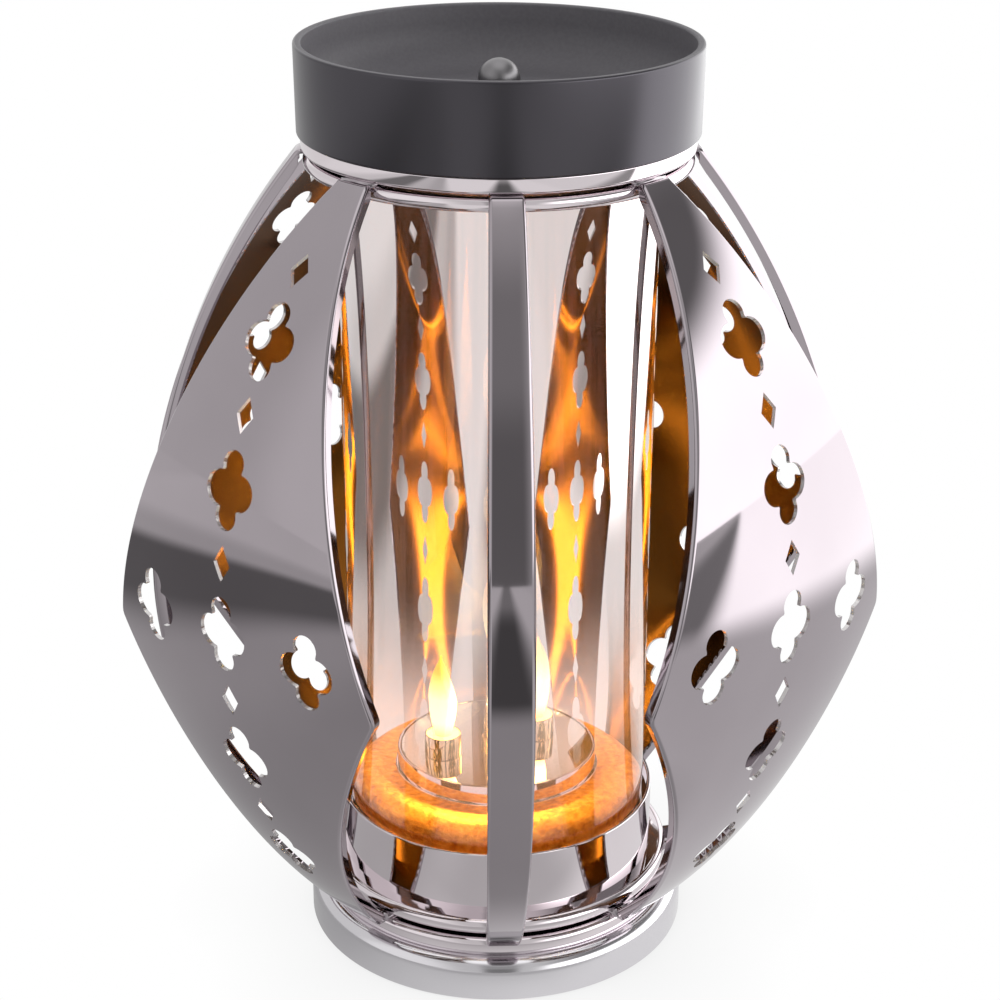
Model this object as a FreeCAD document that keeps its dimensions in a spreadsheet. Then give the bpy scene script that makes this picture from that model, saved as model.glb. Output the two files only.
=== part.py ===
"""Candle lantern with four pierced petals, four straps, a glass cylinder and four flame lamps.

Millimetres. The origin is the centre of the foot's underside, +Z is up and -Y is the front.
"""

import FreeCAD
import Part
import Sketcher
import os

DOC = FreeCAD.newDocument("candle_lantern")
SHEET = DOC.addObject("Spreadsheet::Sheet", "Dimensions")
ORIGIN = (-1, 1)
H_AXIS = -1
V_AXIS = -2
TOLERANCE = 1e-4

# Driving dimensions
DRIVING = {
    # stack of the foot
    "foot_radius": 64,
    "foot_height": 13.8,
    "foot_shoulder": 4.8,
    "foot_bore": 43,
    "spun_wall": 1.5,
    "lower_ring_radius": 59,
    "lower_ring_height": 5.7,
    "bead_ring_radius": 58.5,
    "bead_ring_height": 5.3,
    "ring_round": 2.4,
    "rim_round": 0.75,
    # pedestal and glass
    "pedestal_radius": 52.9,
    "pedestal_height": 21.8,
    "pedestal_wall": 1.2,
    "pedestal_lip": 2.8,
    "deck_hole": 8,
    "glass_radius": 50,
    "glass_wall": 2,
    "glass_height": 221,
    "floor_radius": 47.2,
    "floor_rise": 10.2,
    "floor_wall": 1,
    "floor_round": 5,
    # petals and straps
    "leaf_thick": 1.2,
    "belly_height": 146.7,
    "petal_belly": 118.1,
    "petal_top_reach": 61.8,
    "petal_foot_reach": 63,
    "petal_bow_top": 78,
    "petal_bow_belly": 287,
    "petal_bow_foot": 66,
    "petal_half_top": 6.2,
    "petal_half_shoulder": 37.5,
    "petal_shoulder_height": 187,
    "petal_half_belly": 56,
    "petal_corner_height": 130.6,
    "petal_corner_round": 4,
    "petal_half_waist": 30.7,
    "petal_waist_height": 80,
    "petal_half_foot": 6.8,
    "petal_tab_half": 6,
    "petal_trim": 3,
    "petal_wrap": 0.75,
    "hem_depth": 3.6,
    "tab_gap": 0.5,
    "strap_belly_height": 125,
    "strap_belly": 112.5,
    "strap_top_reach": 61.6,
    "strap_foot_reach": 62.4,
    "strap_half_top": 5.2,
    "strap_half_belly": 6.9,
    "strap_half_foot": 5.6,
    # piercing
    "hole_pitch": 22.15,
    "middle_hole_drop": 3.7,
    "side_hole_drop": 5.5,
    "side_hole_reach": 33.5,
    "lobe_tall_radius": 4.3,
    "lobe_tall_reach": 7.6,
    "lobe_wide_radius": 5.4,
    "lobe_wide_reach": 4.2,
    "diamond_half_width": 3.5,
    "diamond_half_height": 5.5,
    "punch_length": 16,
    # top
    "upper_ring_radius": 60,
    "upper_ring_height": 4.4,
    "upper_ring_base": 262,
    "upper_ring_round": 2,
    "ring_bore": 50.8,
    "collar_radius": 60.6,
    "collar_height": 4.8,
    "collar_round": 1.2,
    "spigot_radius": 58.7,
    "spigot_wall": 1.5,
    "spigot_height": 4.1,
    "lid_gap": 0.3,
    "lid_foot_radius": 61.75,
    "lid_rim_radius": 62.1,
    "lid_wall": 2.5,
    "lid_floor": 2.4,
    "lid_top": 300,
    "dish_floor_height": 280,
    "dish_round": 14,
    "knob_radius": 6.5,
    "knob_height": 287.7,
    "knob_neck_radius": 3,
    "knob_bore_top": 286,
    # candle unit
    "drum_radius": 32.9,
    "drum_height": 7.4,
    "drum_wall": 0.9,
    "drum_bead": 0.8,
    "drum_bead_height": 1.2,
    "drum_ledge": 3,
    "mirror_thick": 0.9,
    "mirror_gap": 0.2,
    "board_radius": 28,
    "board_thick": 1.6,
    "cup_radius": 6,
    "cup_height": 7.8,
    "cup_wall": 0.5,
    "wax_gap": 0.05,
    "wax_drop": 0.3,
    "lead_radius": 0.9,
    "lamp_radius": 1.5,
    "lamp_length": 4,
    "lamp_bore": 1.7,
    "stick_collar_radius": 5,
    "stick_collar_height": 2.7,
    "stick_sleeve_radius": 4.1,
    "stick_sleeve_height": 10.5,
    "stick_stem_radius": 3.5,
    "stick_stem_height": 23.1,
    "flame_height": 28.3,
    "flame_radius": 4.6,
    "flame_curl": 1,
    # battery bay
    "base_thick": 2.2,
    "base_gap": 0.2,
    "door_half_length": 30.2,
    "door_half_width": 24.6,
    "door_gap": 0.4,
    "door_recess": 0.3,
    "door_thick": 1.7,
    "door_edge_round": 0.8,
    "thumb_notch_radius": 6,
    "thumb_notch_depth": 0.6,
    "box_wall": 1.4,
    "box_height": 18,
    "cell_radius": 7.25,
    "cell_length": 49.5,
    "cell_nub_radius": 2.75,
    "cell_nub_length": 1,
    "cell_pitch": 16,
    "cell_lift": 8.4,
    "contact_thick": 0.7,
    "contact_half_width": 4,
    "leaf_spring_half": 5.8,
    "leaf_spring_thick": 0.5,
    # switch
    "switch_out": 40,
    "switch_half_length": 7,
    "switch_half_width": 3.5,
    "switch_height": 5.5,
    "slot_half_length": 5,
    "slot_half_width": 2,
    "slot_depth": 2.6,
    "slider_half_length": 2,
    "slider_half_width": 1.5,
    "slider_end_gap": 0.4,
    "slider_recess": 0.5,
    "slider_height": 3.7,
    # fasteners
    "foot_bolt_circle": 48,
    "foot_bolt_radius": 1.5,
    "foot_bolt_hole": 1.6,
    "foot_bolt_head": 2.8,
    "foot_bolt_head_height": 2.4,
    "nut_radius": 2.7,
    "nut_height": 2.4,
    "bolt_end": 0.6,
    "top_screw_circle": 55.4,
    "top_screw_radius": 1.2,
    "top_screw_hole": 1.3,
    "top_screw_head": 2.3,
    "top_screw_head_height": 1.4,
    "top_screw_bite": 3,
    "screw_end_gap": 0.3,
    "head_gap": 0.1,
    "base_screw_circle": 52,
    "base_screw_radius": 1.2,
    "base_screw_hole": 1.3,
    "base_screw_head": 2.6,
    "base_screw_head_height": 1.3,
    "base_screw_recess": 0.3,
    "base_post_radius": 3.6,
    "knob_screw_radius": 1.45,
    "knob_screw_hole": 1.5,
    "knob_screw_head": 3,
    "knob_screw_head_height": 2.2,
}

# Levels and reaches worked out from the driving dimensions
DERIVED = {
    "flange_base": "foot_height - spun_wall",
    "foot_tab_base": "foot_height + lower_ring_height",
    "bead_ring_base": "foot_tab_base + leaf_thick",
    "pedestal_base": "bead_ring_base + bead_ring_height",
    "pedestal_top": "pedestal_base + pedestal_height",
    "deck_top": "pedestal_top - pedestal_lip",
    "floor_top": "deck_top + floor_rise",
    "top_tab_base": "upper_ring_base + upper_ring_height",
    "collar_base": "top_tab_base + leaf_thick",
    "collar_top": "collar_base + collar_height",
    "lid_base": "collar_top + lid_gap",
    "dish_under": "dish_floor_height - lid_floor",
    "petal_rise": "collar_base - belly_height",
    "petal_drop": "belly_height - foot_tab_base",
    "strap_rise": "collar_base - strap_belly_height",
    "strap_drop": "strap_belly_height - foot_tab_base",
    "hem_start": "leaf_thick / 2",
    "hem_clearance": "upper_ring_radius + leaf_thick",
    "petal_top_slope": "petal_belly - petal_top_reach",
    "petal_foot_slope": "petal_belly - petal_foot_reach",
    "strap_top_slope": "strap_belly - strap_top_reach",
    "strap_foot_slope": "strap_belly - strap_foot_reach",
    "petal_top_arc": "(petal_top_slope^2 + petal_rise^2) / (2 * petal_top_slope)",
    "petal_foot_arc": "(petal_foot_slope^2 + petal_drop^2) / (2 * petal_foot_slope)",
    "strap_top_arc": "(strap_top_slope^2 + strap_rise^2) / (2 * strap_top_slope)",
    "strap_foot_arc": "(strap_foot_slope^2 + strap_drop^2) / (2 * strap_foot_slope)",
    "drum_top": "floor_top + drum_height",
    "mirror_base": "drum_top - mirror_thick - mirror_gap",
    "mirror_top": "mirror_base + mirror_thick",
    "board_top": "floor_top + board_thick",
    "wax_base": "mirror_top + cup_wall",
    "wax_top": "mirror_top + cup_height - wax_drop",
    "stick_sleeve_base": "mirror_top + stick_collar_height",
    "stick_stem_base": "stick_sleeve_base + stick_sleeve_height",
    "stick_top": "stick_stem_base + stick_stem_height",
    "box_half_length": "door_half_length + door_gap + box_wall",
    "box_half_width": "door_half_width + door_gap + box_wall",
    "cell_height": "base_thick + cell_lift",
    "cell_start": "door_half_length + door_gap - contact_thick - cell_nub_length - cell_length",
    "foot_bolt_top": "pedestal_base + spun_wall + nut_height + bolt_end",
    "base_plate_radius": "foot_radius - spun_wall - base_gap",
}

# Where the three short candles stand on the mirror: distance from the axis and bearing.
# Each flame's tip curls towards its bearing.
CANDLES = {"front_left": (19.4, 202), "right": (14.7, 24), "back": (20, 72)}
TALL_FLAME_BEARING = 180
PETALS = {"front_right": -45, "back_right": 45, "back_left": 135, "front_left": 225}
STRAPS = {"front": -90, "right": 0, "back": 90, "left": 180}
PETAL_LEVELS_EACH_WAY = 6
HOLES_ABOVE_MIDDLE = 5
HOLES_BELOW_MIDDLE = 4
FASTENERS_PER_RING = 8
BASE_SCREWS = 4
BASE_SCREW_TURN = 22.5
NUT_SIDES = 6

# Flame sections: height share, radius share and sideways share of the curl
FLAME_SECTIONS = [
    (0.0, 0.6, 0.0),
    (0.12, 0.8, 0.0),
    (0.4, 1.0, 0.0),
    (0.6, 0.8, 0.3),
    (0.78, 0.53, 1.0),
    (0.9, 0.33, 0.85),
    (1.0, 0.1, 0.5),
]


def fill_sheet():
    row = 1
    for name, value in list(DRIVING.items()) + list(DERIVED.items()):
        formula = str(value) if name in DRIVING else "=" + value
        SHEET.set(f"A{row}", name)
        SHEET.set(f"B{row}", formula)
        SHEET.setAlias(f"B{row}", name)
        row += 1
    DOC.recompute()


def size(expression):
    """The present value of an expression on the sheet's aliases, for a first guess."""
    return float(SHEET.evalExpression(bind(expression)))


def bind(expression):
    """An expression on bare aliases, rewritten for use outside the sheet."""
    words = []
    word = ""
    for letter in str(expression) + " ":
        if letter.isalnum() or letter in "_.":
            word += letter
            continue
        words.append(f"Dimensions.{word}" if word in DRIVING or word in DERIVED else word)
        words.append(letter)
        word = ""
    return "".join(words).strip()


def new_body(label):
    body = DOC.addObject("PartDesign::Body", label)
    body.Label = label
    body.AllowCompound = True
    return body


def origin_feature(body, role):
    return next(item for item in body.Origin.OriginFeatures if item.Role == role)


def new_sketch(body, plane, level=None):
    """A sketch on one of the body's own origin planes, lifted by an expression."""
    sketch = body.newObject("Sketcher::SketchObject", body.Name + "_sketch")
    sketch.AttachmentSupport = [(origin_feature(body, plane), "")]
    sketch.MapMode = "FlatFace"
    if level is not None:
        sketch.setExpression("AttachmentOffset.Base.z", bind(level))
    return sketch


def place_vertex(sketch, line, end, across, up):
    """Hold a vertex at signed expressions from the sketch's origin."""
    for kind, axis, expression in (("DistanceX", V_AXIS, across), ("DistanceY", H_AXIS, up)):
        value = size(expression)
        if abs(value) < TOLERANCE:
            sketch.addConstraint(Sketcher.Constraint("PointOnObject", line, end, axis))
            continue
        index = sketch.addConstraint(Sketcher.Constraint(kind, *ORIGIN, line, end, value))
        sketch.setExpression(f"Constraints[{index}]", bind(expression))


def polygon(sketch, corners):
    """A closed outline of straight lines through corners given as expressions."""
    first = sketch.GeometryCount
    points = [FreeCAD.Vector(size(across), size(up), 0) for across, up in corners]
    count = len(points)
    for i in range(count):
        sketch.addGeometry(Part.LineSegment(points[i], points[(i + 1) % count]))
    for i in range(count):
        following = first + (i + 1) % count
        sketch.addConstraint(Sketcher.Constraint("Coincident", first + i, 2, following, 1))
        place_vertex(sketch, first + i, 1, *corners[i])


def rectangle(sketch, half_length, half_width, middle_across="0", middle_up="0"):
    left, right = f"{middle_across} - {half_length}", f"{middle_across} + {half_length}"
    low, high = f"{middle_up} - {half_width}", f"{middle_up} + {half_width}"
    polygon(sketch, [(left, low), (right, low), (right, high), (left, high)])


def circle(sketch, radius, across="0", up="0"):
    centre = FreeCAD.Vector(size(across), size(up), 0)
    index = sketch.addGeometry(Part.Circle(centre, FreeCAD.Vector(0, 0, 1), size(radius)))
    place_vertex(sketch, index, 3, across, up)
    held = sketch.addConstraint(Sketcher.Constraint("Radius", index, size(radius)))
    sketch.setExpression(f"Constraints[{held}]", bind(radius))


def on_circle(radius, bearing):
    """Expressions for a point at a bearing in degrees on a circle about the axis."""
    return f"{radius} * cos({bearing})", f"{radius} * sin({bearing})"


def pad(body, sketch, length, midplane=False):
    feature = body.newObject("PartDesign::Pad", body.Name + "_pad")
    feature.Profile = sketch
    feature.setExpression("Length", bind(length))
    feature.SideType = "Symmetric" if midplane else "One side"
    return feature


def pocket(body, sketch, depth):
    """Cut downwards from the sketch, and refuse a cut that removes nothing."""
    DOC.recompute()
    before = body.Shape.Volume
    feature = body.newObject("PartDesign::Pocket", body.Name + "_pocket")
    feature.Profile = sketch
    feature.setExpression("Length", bind(depth))
    DOC.recompute()
    if body.Shape.Volume > before - TOLERANCE:
        raise RuntimeError(f"{feature.Label} cuts nothing")
    return feature


def polar(body, features, count):
    feature = body.newObject("PartDesign::PolarPattern", body.Name + "_pattern")
    feature.Originals = features
    feature.Axis = (origin_feature(body, "Z_Axis"), [""])
    feature.Angle = 360
    feature.Occurrences = count
    body.Tip = feature
    return feature


def turned(label, corners):
    """A body of revolution about +Z from corners given as radius and height."""
    body = new_body(label)
    sketch = new_sketch(body, "XZ_Plane")
    polygon(sketch, corners)
    feature = body.newObject("PartDesign::Revolution", label + "_turn")
    feature.Profile = sketch
    feature.ReferenceAxis = (sketch, ["V_Axis"])
    feature.Angle = 360
    DOC.recompute()
    return body


def fillet(body, edge_names, radius):
    base = body.Tip
    feature = body.newObject("PartDesign::Fillet", body.Name + "_round")
    feature.Base = (base, edge_names)
    feature.setExpression("Radius", bind(radius))
    DOC.recompute()


def round_circles(body, places, radius):
    """Fillet the circular edges at the given radius and height expressions."""
    names = []
    for i, edge in enumerate(body.Shape.Edges, 1):
        curve = edge.Curve
        if curve.TypeId != "Part::GeomCircle":
            continue
        for across, up in places:
            if abs(curve.Radius - size(across)) < TOLERANCE and abs(curve.Center.z - size(up)) < TOLERANCE:
                names.append(f"Edge{i}")
    fillet(body, names, radius)


def drill(body, bolt_circle, radius, top, depth, count, turn=0):
    """A ring of equal round holes, cut downwards from a level."""
    sketch = new_sketch(body, "XY_Plane", top)
    circle(sketch, radius, *on_circle(bolt_circle, turn))
    polar(body, [pocket(body, sketch, depth)], count)
    DOC.recompute()


def fasteners(label, bolt_circle, steps, count, turn=0):
    """A group of equal round-section fasteners: each step is radius, base and length."""
    body = new_body(label)
    pads = []
    for radius, base, length in steps:
        sketch = new_sketch(body, "XY_Plane", base)
        circle(sketch, radius, *on_circle(bolt_circle, turn))
        pads.append(pad(body, sketch, length))
    polar(body, pads, count)


def place_copy(label, source, x="0", y="0", z="0", turn=0):
    """The source's shape as a piece of its own, moved and turned about +Z."""
    piece = DOC.addObject("Part::Compound", label)
    piece.Label = label
    piece.Links = [source]
    piece.Placement = FreeCAD.Placement(FreeCAD.Vector(), FreeCAD.Rotation(FreeCAD.Vector(0, 0, 1), turn))
    for axis, expression in zip("xyz", (x, y, z)):
        piece.setExpression(f"Placement.Base.{axis}", bind(expression))
    return piece


def build_foot():
    inner = "foot_radius - spun_wall"
    foot = turned("foot", [
        (inner, "0"),
        ("foot_radius", "0"),
        ("foot_radius", "foot_height"),
        ("foot_bore", "foot_height"),
        ("foot_bore", "flange_base"),
        (inner, "flange_base"),
    ])
    round_circles(foot, [(inner, "flange_base")], "foot_shoulder - spun_wall")
    round_circles(foot, [("foot_radius", "foot_height")], "foot_shoulder")
    through = "2 * spun_wall"
    drill(foot, "foot_bolt_circle", "foot_bolt_hole", "foot_height", through, FASTENERS_PER_RING)
    drill(foot, "base_screw_circle", "base_screw_hole", "foot_height", through, BASE_SCREWS, BASE_SCREW_TURN)


def build_stack_ring(label, radius, base, height, rounded):
    """A plain ring of the lower stack, with its outer edges rounded."""
    top = f"{base} + {height}"
    ring = turned(label, [("foot_bore", base), (radius, base), (radius, top), ("foot_bore", top)])
    round_circles(ring, [(radius, level) for level in rounded], "ring_round")
    drill(ring, "foot_bolt_circle", "foot_bolt_hole", top, f"2 * {height}", FASTENERS_PER_RING)


def build_pedestal():
    inner = "pedestal_radius - pedestal_wall"
    flange_top = "pedestal_base + spun_wall"
    deck_under = "deck_top - spun_wall"
    pedestal = turned("pedestal", [
        ("foot_bore", "pedestal_base"),
        ("pedestal_radius", "pedestal_base"),
        ("pedestal_radius", "pedestal_top"),
        (inner, "pedestal_top"),
        (inner, "deck_top"),
        ("deck_hole", "deck_top"),
        ("deck_hole", deck_under),
        (inner, deck_under),
        (inner, flange_top),
        ("foot_bore", flange_top),
    ])
    drill(pedestal, "foot_bolt_circle", "foot_bolt_hole", flange_top, "2 * spun_wall", FASTENERS_PER_RING)


def build_floor_plate():
    inner = "floor_radius - floor_wall"
    under = "floor_top - floor_wall"
    plate = turned("floor_plate", [
        (inner, "deck_top"),
        ("floor_radius", "deck_top"),
        ("floor_radius", "floor_top"),
        ("deck_hole", "floor_top"),
        ("deck_hole", under),
        (inner, under),
    ])
    round_circles(plate, [(inner, under)], "floor_round - floor_wall")
    round_circles(plate, [("floor_radius", "floor_top")], "floor_round")


def build_glass():
    inner = "glass_radius - glass_wall"
    top = "deck_top + glass_height"
    glass = turned("glass_cylinder", [
        (inner, "deck_top"),
        ("glass_radius", "deck_top"),
        ("glass_radius", top),
        (inner, top),
    ])
    round_circles(glass, [("glass_radius", top), (inner, top)], "rim_round")


def profile_sketch(name):
    """A free sketch standing on the plane through the axis: radius across, height up."""
    sketch = DOC.addObject("Sketcher::SketchObject", name)
    sketch.Placement = FreeCAD.Placement(FreeCAD.Vector(), FreeCAD.Rotation(FreeCAD.Vector(1, 0, 0), 90))
    return sketch


def face_sketch(name):
    """A free sketch facing along +X: sideways across, height up."""
    sketch = DOC.addObject("Sketcher::SketchObject", name)
    sketch.Placement = FreeCAD.Placement(FreeCAD.Vector(), FreeCAD.Rotation(FreeCAD.Vector(1, 1, 1), 120))
    return sketch


def extrude(name, sketch, direction, forward, back="0"):
    solid = DOC.addObject("Part::Extrusion", name)
    solid.Base = sketch
    solid.DirMode = "Custom"
    solid.Dir = FreeCAD.Vector(*direction)
    solid.Solid = True
    solid.setExpression("LengthFwd", bind(forward))
    solid.setExpression("LengthRev", bind(back))
    return solid


def boolean(kind, name, base, tool):
    result = DOC.addObject("Part::" + kind, name)
    result.Base = base
    result.Tool = tool
    return result


def arc_by_points(sketch, start, middle, end):
    points = [FreeCAD.Vector(across, up, 0) for across, up in (start, middle, end)]
    return sketch.addGeometry(Part.ArcOfCircle(*points))


def hold_on_arc(sketch, arc, across, up):
    """Make an arc pass through a point given by expressions."""
    point = sketch.addGeometry(Part.Point(FreeCAD.Vector(size(across), size(up), 0)), True)
    place_vertex(sketch, point, 1, across, up)
    sketch.addConstraint(Sketcher.Constraint("PointOnObject", point, 1, arc))


def arc_reach(belly, radius, rise):
    """How far out an arc that stands upright at the belly still is, at a height from the belly."""
    return f"({belly} - ({radius}) + sqrt(({radius})^2 - ({rise})^2))"


def low_and_high_end(sketch, arc):
    """The two end numbers of an arc, the lower end first."""
    return (1, 2) if sketch.getPoint(arc, 1).y < sketch.getPoint(arc, 2).y else (2, 1)


def close_outline(outline, sides):
    """Join two sides by straight lines; each side lists its open ends in the same order."""
    for one, other in zip(*sides):
        line = outline.addGeometry(Part.LineSegment(outline.getPoint(*one), outline.getPoint(*other)))
        outline.addConstraint(Sketcher.Constraint("Coincident", line, 1, *one))
        outline.addConstraint(Sketcher.Constraint("Coincident", line, 2, *other))


def strap_outline(name, inset):
    """The strap seen from outside, drawn in by an inset: a slim leaf, widest at the petals' belly."""
    outline = face_sketch(name)
    levels = ("top", "belly", "foot")
    half_top, half_belly, half_foot = (f"(strap_half_{level} - {inset})" for level in levels)
    sides = []
    for sign, text in ((1, ""), (-1, "-")):
        top = (sign * size(half_top), size("collar_base"))
        belly = (sign * size(half_belly), size("belly_height"))
        foot = (sign * size(half_foot), size("foot_tab_base"))
        side = arc_by_points(outline, foot, belly, top)
        low, high = low_and_high_end(outline, side)
        place_vertex(outline, side, high, text + half_top, "collar_base")
        place_vertex(outline, side, low, text + half_foot, "foot_tab_base")
        hold_on_arc(outline, side, text + half_belly, "belly_height")
        sides.append(((side, high), (side, low)))
    close_outline(outline, sides)
    return outline


def strap_arcs(sketch, near, far):
    """The strap's bent section between two depths under its face: two arcs each, upright at the belly."""
    arcs = {}
    for side, depth in (("outer", near), ("inner", far)):
        for way, radius, level in (
            ("top", "strap_top_arc", "collar_base" if side == "outer" else "top_tab_base"),
            ("foot", "strap_foot_arc", "foot_tab_base" if side == "outer" else "bead_ring_base"),
        ):
            out = f"(strap_belly - {depth})"
            bend = f"({radius} - {depth})"
            rise = f"({level} - strap_belly_height)"
            middle = (size(arc_reach(out, bend, f"{rise} / 2")), size(f"strap_belly_height + {rise} / 2"))
            start = (size(out), size("strap_belly_height"))
            end = (size(arc_reach(out, bend, rise)), size(level))
            ends = (start, middle, end) if way == "top" else (end, middle, start)
            index = arc_by_points(sketch, *ends)
            belly_end = 1 if way == "top" else 2
            held = sketch.addConstraint(Sketcher.Constraint("Radius", index, size(bend)))
            sketch.setExpression(f"Constraints[{held}]", bind(bend))
            place_vertex(sketch, index, belly_end, out, "strap_belly_height")
            sketch.addConstraint(Sketcher.Constraint("Horizontal", index, 3, index, belly_end))
            arcs[side, way] = (index, 3 - belly_end, level)
    return arcs


def strap_profile():
    """The strap's section with a flat tab at each end."""
    sketch = profile_sketch("strap_profile")
    arcs = strap_arcs(sketch, "0", "leaf_thick")
    for way, tab_end in (("top", "ring_bore + tab_gap"), ("foot", "foot_bore + tab_gap")):
        corners = []
        for side in ("outer", "inner"):
            arc, free_end, level = arcs[side, way]
            tip = sketch.getPoint(arc, free_end)
            inside = FreeCAD.Vector(size(tab_end), size(level), 0)
            line = sketch.addGeometry(Part.LineSegment(tip, inside))
            sketch.addConstraint(Sketcher.Constraint("Coincident", line, 1, arc, free_end))
            place_vertex(sketch, line, 2, tab_end, level)
            sketch.addConstraint(Sketcher.Constraint("Horizontal", line))
            corners.append((line, 2))
        close_outline(sketch, [[corners[0]], [corners[1]]])
    return sketch


def strap_hem_profile():
    """The deeper section the strap's turned-in hem is cut from."""
    sketch = profile_sketch("strap_hem_profile")
    arcs = strap_arcs(sketch, "hem_start", "hem_depth")
    close_outline(sketch, [[arcs[side, way][:2] for way in ("top", "foot")] for side in ("outer", "inner")])
    return sketch


def turned_hem(name, deep, cutter, hollow):
    """The hem turned inwards along a leaf's sides: the deep sheet less its hollow, kept off the rings."""
    blank = boolean("Common", f"{name}_hem_blank", deep, cutter)
    walls = boolean("Cut", f"{name}_hem_walls", blank, hollow)
    rings = DOC.addObject("Part::Cylinder", f"{name}_hem_clearance")
    rings.setExpression("Radius", bind("hem_clearance"))
    rings.setExpression("Height", bind("lid_top"))
    return boolean("Cut", f"{name}_hem", walls, rings)


def tab_holes(name):
    """The two clearance drills through the tabs of a strap or petal that stands towards +X."""
    drills = []
    for end, radius, out, base in (
        ("top", "top_screw_hole", "top_screw_circle", "top_tab_base"),
        ("foot", "foot_bolt_hole", "foot_bolt_circle", "foot_tab_base"),
    ):
        tool = DOC.addObject("Part::Cylinder", f"{name}_{end}_drill")
        tool.setExpression("Radius", bind(radius))
        tool.setExpression("Height", bind("3 * leaf_thick"))
        tool.setExpression("Placement.Base.x", bind(out))
        tool.setExpression("Placement.Base.z", bind(f"{base} - leaf_thick"))
        drills.append(tool)
    both = DOC.addObject("Part::Compound", f"{name}_drills")
    both.Links = drills
    return both


def build_straps():
    wide = "2 * strap_half_belly"
    far = "2 * strap_belly"
    strip = extrude("strap_strip", strap_profile(), (0, 1, 0), wide, wide)
    cutter = extrude("strap_cutter", strap_outline("strap_outline", "0"), (1, 0, 0), far)
    blank = boolean("Common", "strap_blank", strip, cutter)
    deep = extrude("strap_deep_strip", strap_hem_profile(), (0, 1, 0), wide, wide)
    hollow = extrude("strap_hollow", strap_outline("strap_hollow_outline", "leaf_thick"), (1, 0, 0), far)
    joined = DOC.addObject("Part::MultiFuse", "strap_joined")
    joined.Shapes = [blank, turned_hem("strap", deep, cutter, hollow)]
    strap = boolean("Cut", "strap_master", joined, tab_holes("strap"))
    for place, bearing in STRAPS.items():
        place_copy("strap_" + place, strap, turn=bearing)


def petal_section(name, level, reach, bow, half, near, far):
    """One level of the petal: a closed band about one centre, between two depths under the face."""
    sketch = DOC.addObject("Sketcher::SketchObject", name)
    sketch.setExpression("Placement.Base.z", bind(level))
    out, radius, side = size(reach), size(bow), size(half)
    centre = out - radius
    arcs = []
    for depth in (near, far):
        bent = radius - size(depth)
        tip = side * bent / radius
        across = centre + (bent ** 2 - tip ** 2) ** 0.5
        arc = arc_by_points(sketch, (across, -tip), (centre + bent, 0), (across, tip))
        expression = f"{bow} - {depth}"
        held = sketch.addConstraint(Sketcher.Constraint("Radius", arc, bent))
        sketch.setExpression(f"Constraints[{held}]", bind(expression))
        arcs.append(arc)
    outer, inner = arcs
    close_outline(sketch, [[(outer, 1), (outer, 2)], [(inner, 1), (inner, 2)]])
    sketch.addConstraint(Sketcher.Constraint("Coincident", outer, 3, inner, 3))
    sketch.addConstraint(Sketcher.Constraint("PointOnObject", outer, 3, H_AXIS))
    hold_on_arc(sketch, outer, f"{reach} - {near}", "0")
    for arc, depth in ((outer, near), (inner, far)):
        tip = f"({half}) * ({bow} - {depth}) / ({bow})"
        sketch.addConstraint(Sketcher.Constraint("Symmetric", arc, 1, arc, 2, H_AXIS))
        held = sketch.addConstraint(Sketcher.Constraint("DistanceY", *ORIGIN, arc, 2, size(tip)))
        sketch.setExpression(f"Constraints[{held}]", bind(tip))
    return sketch


def petal_sheet(name, near, far):
    """The bent sheet the petal is cut from, lofted through level sections from foot to top."""
    sections = []
    for step in range(-PETAL_LEVELS_EACH_WAY, PETAL_LEVELS_EACH_WAY + 1):
        share = abs(step) / PETAL_LEVELS_EACH_WAY
        end = "top" if step > 0 else "foot"
        rise = f"({share} * petal_rise)" if step > 0 else f"(-{share} * petal_drop)"
        reach = arc_reach("petal_belly", f"petal_{end}_arc", rise)
        bend = f"(1 / petal_bow_belly + (1 / petal_bow_{end} - 1 / petal_bow_belly) * {share}^2)"
        half = f"min(petal_half_belly + petal_trim; petal_wrap / {bend})"
        label = f"{name}_level_{step + PETAL_LEVELS_EACH_WAY}"
        level = f"belly_height + {rise}"
        sections.append(petal_section(label, level, reach, f"(1 / {bend})", half, near, far))
    sheet = DOC.addObject("Part::Loft", name)
    sheet.Sections = sections
    sheet.Solid = True
    sheet.Ruled = False
    return sheet


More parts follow.
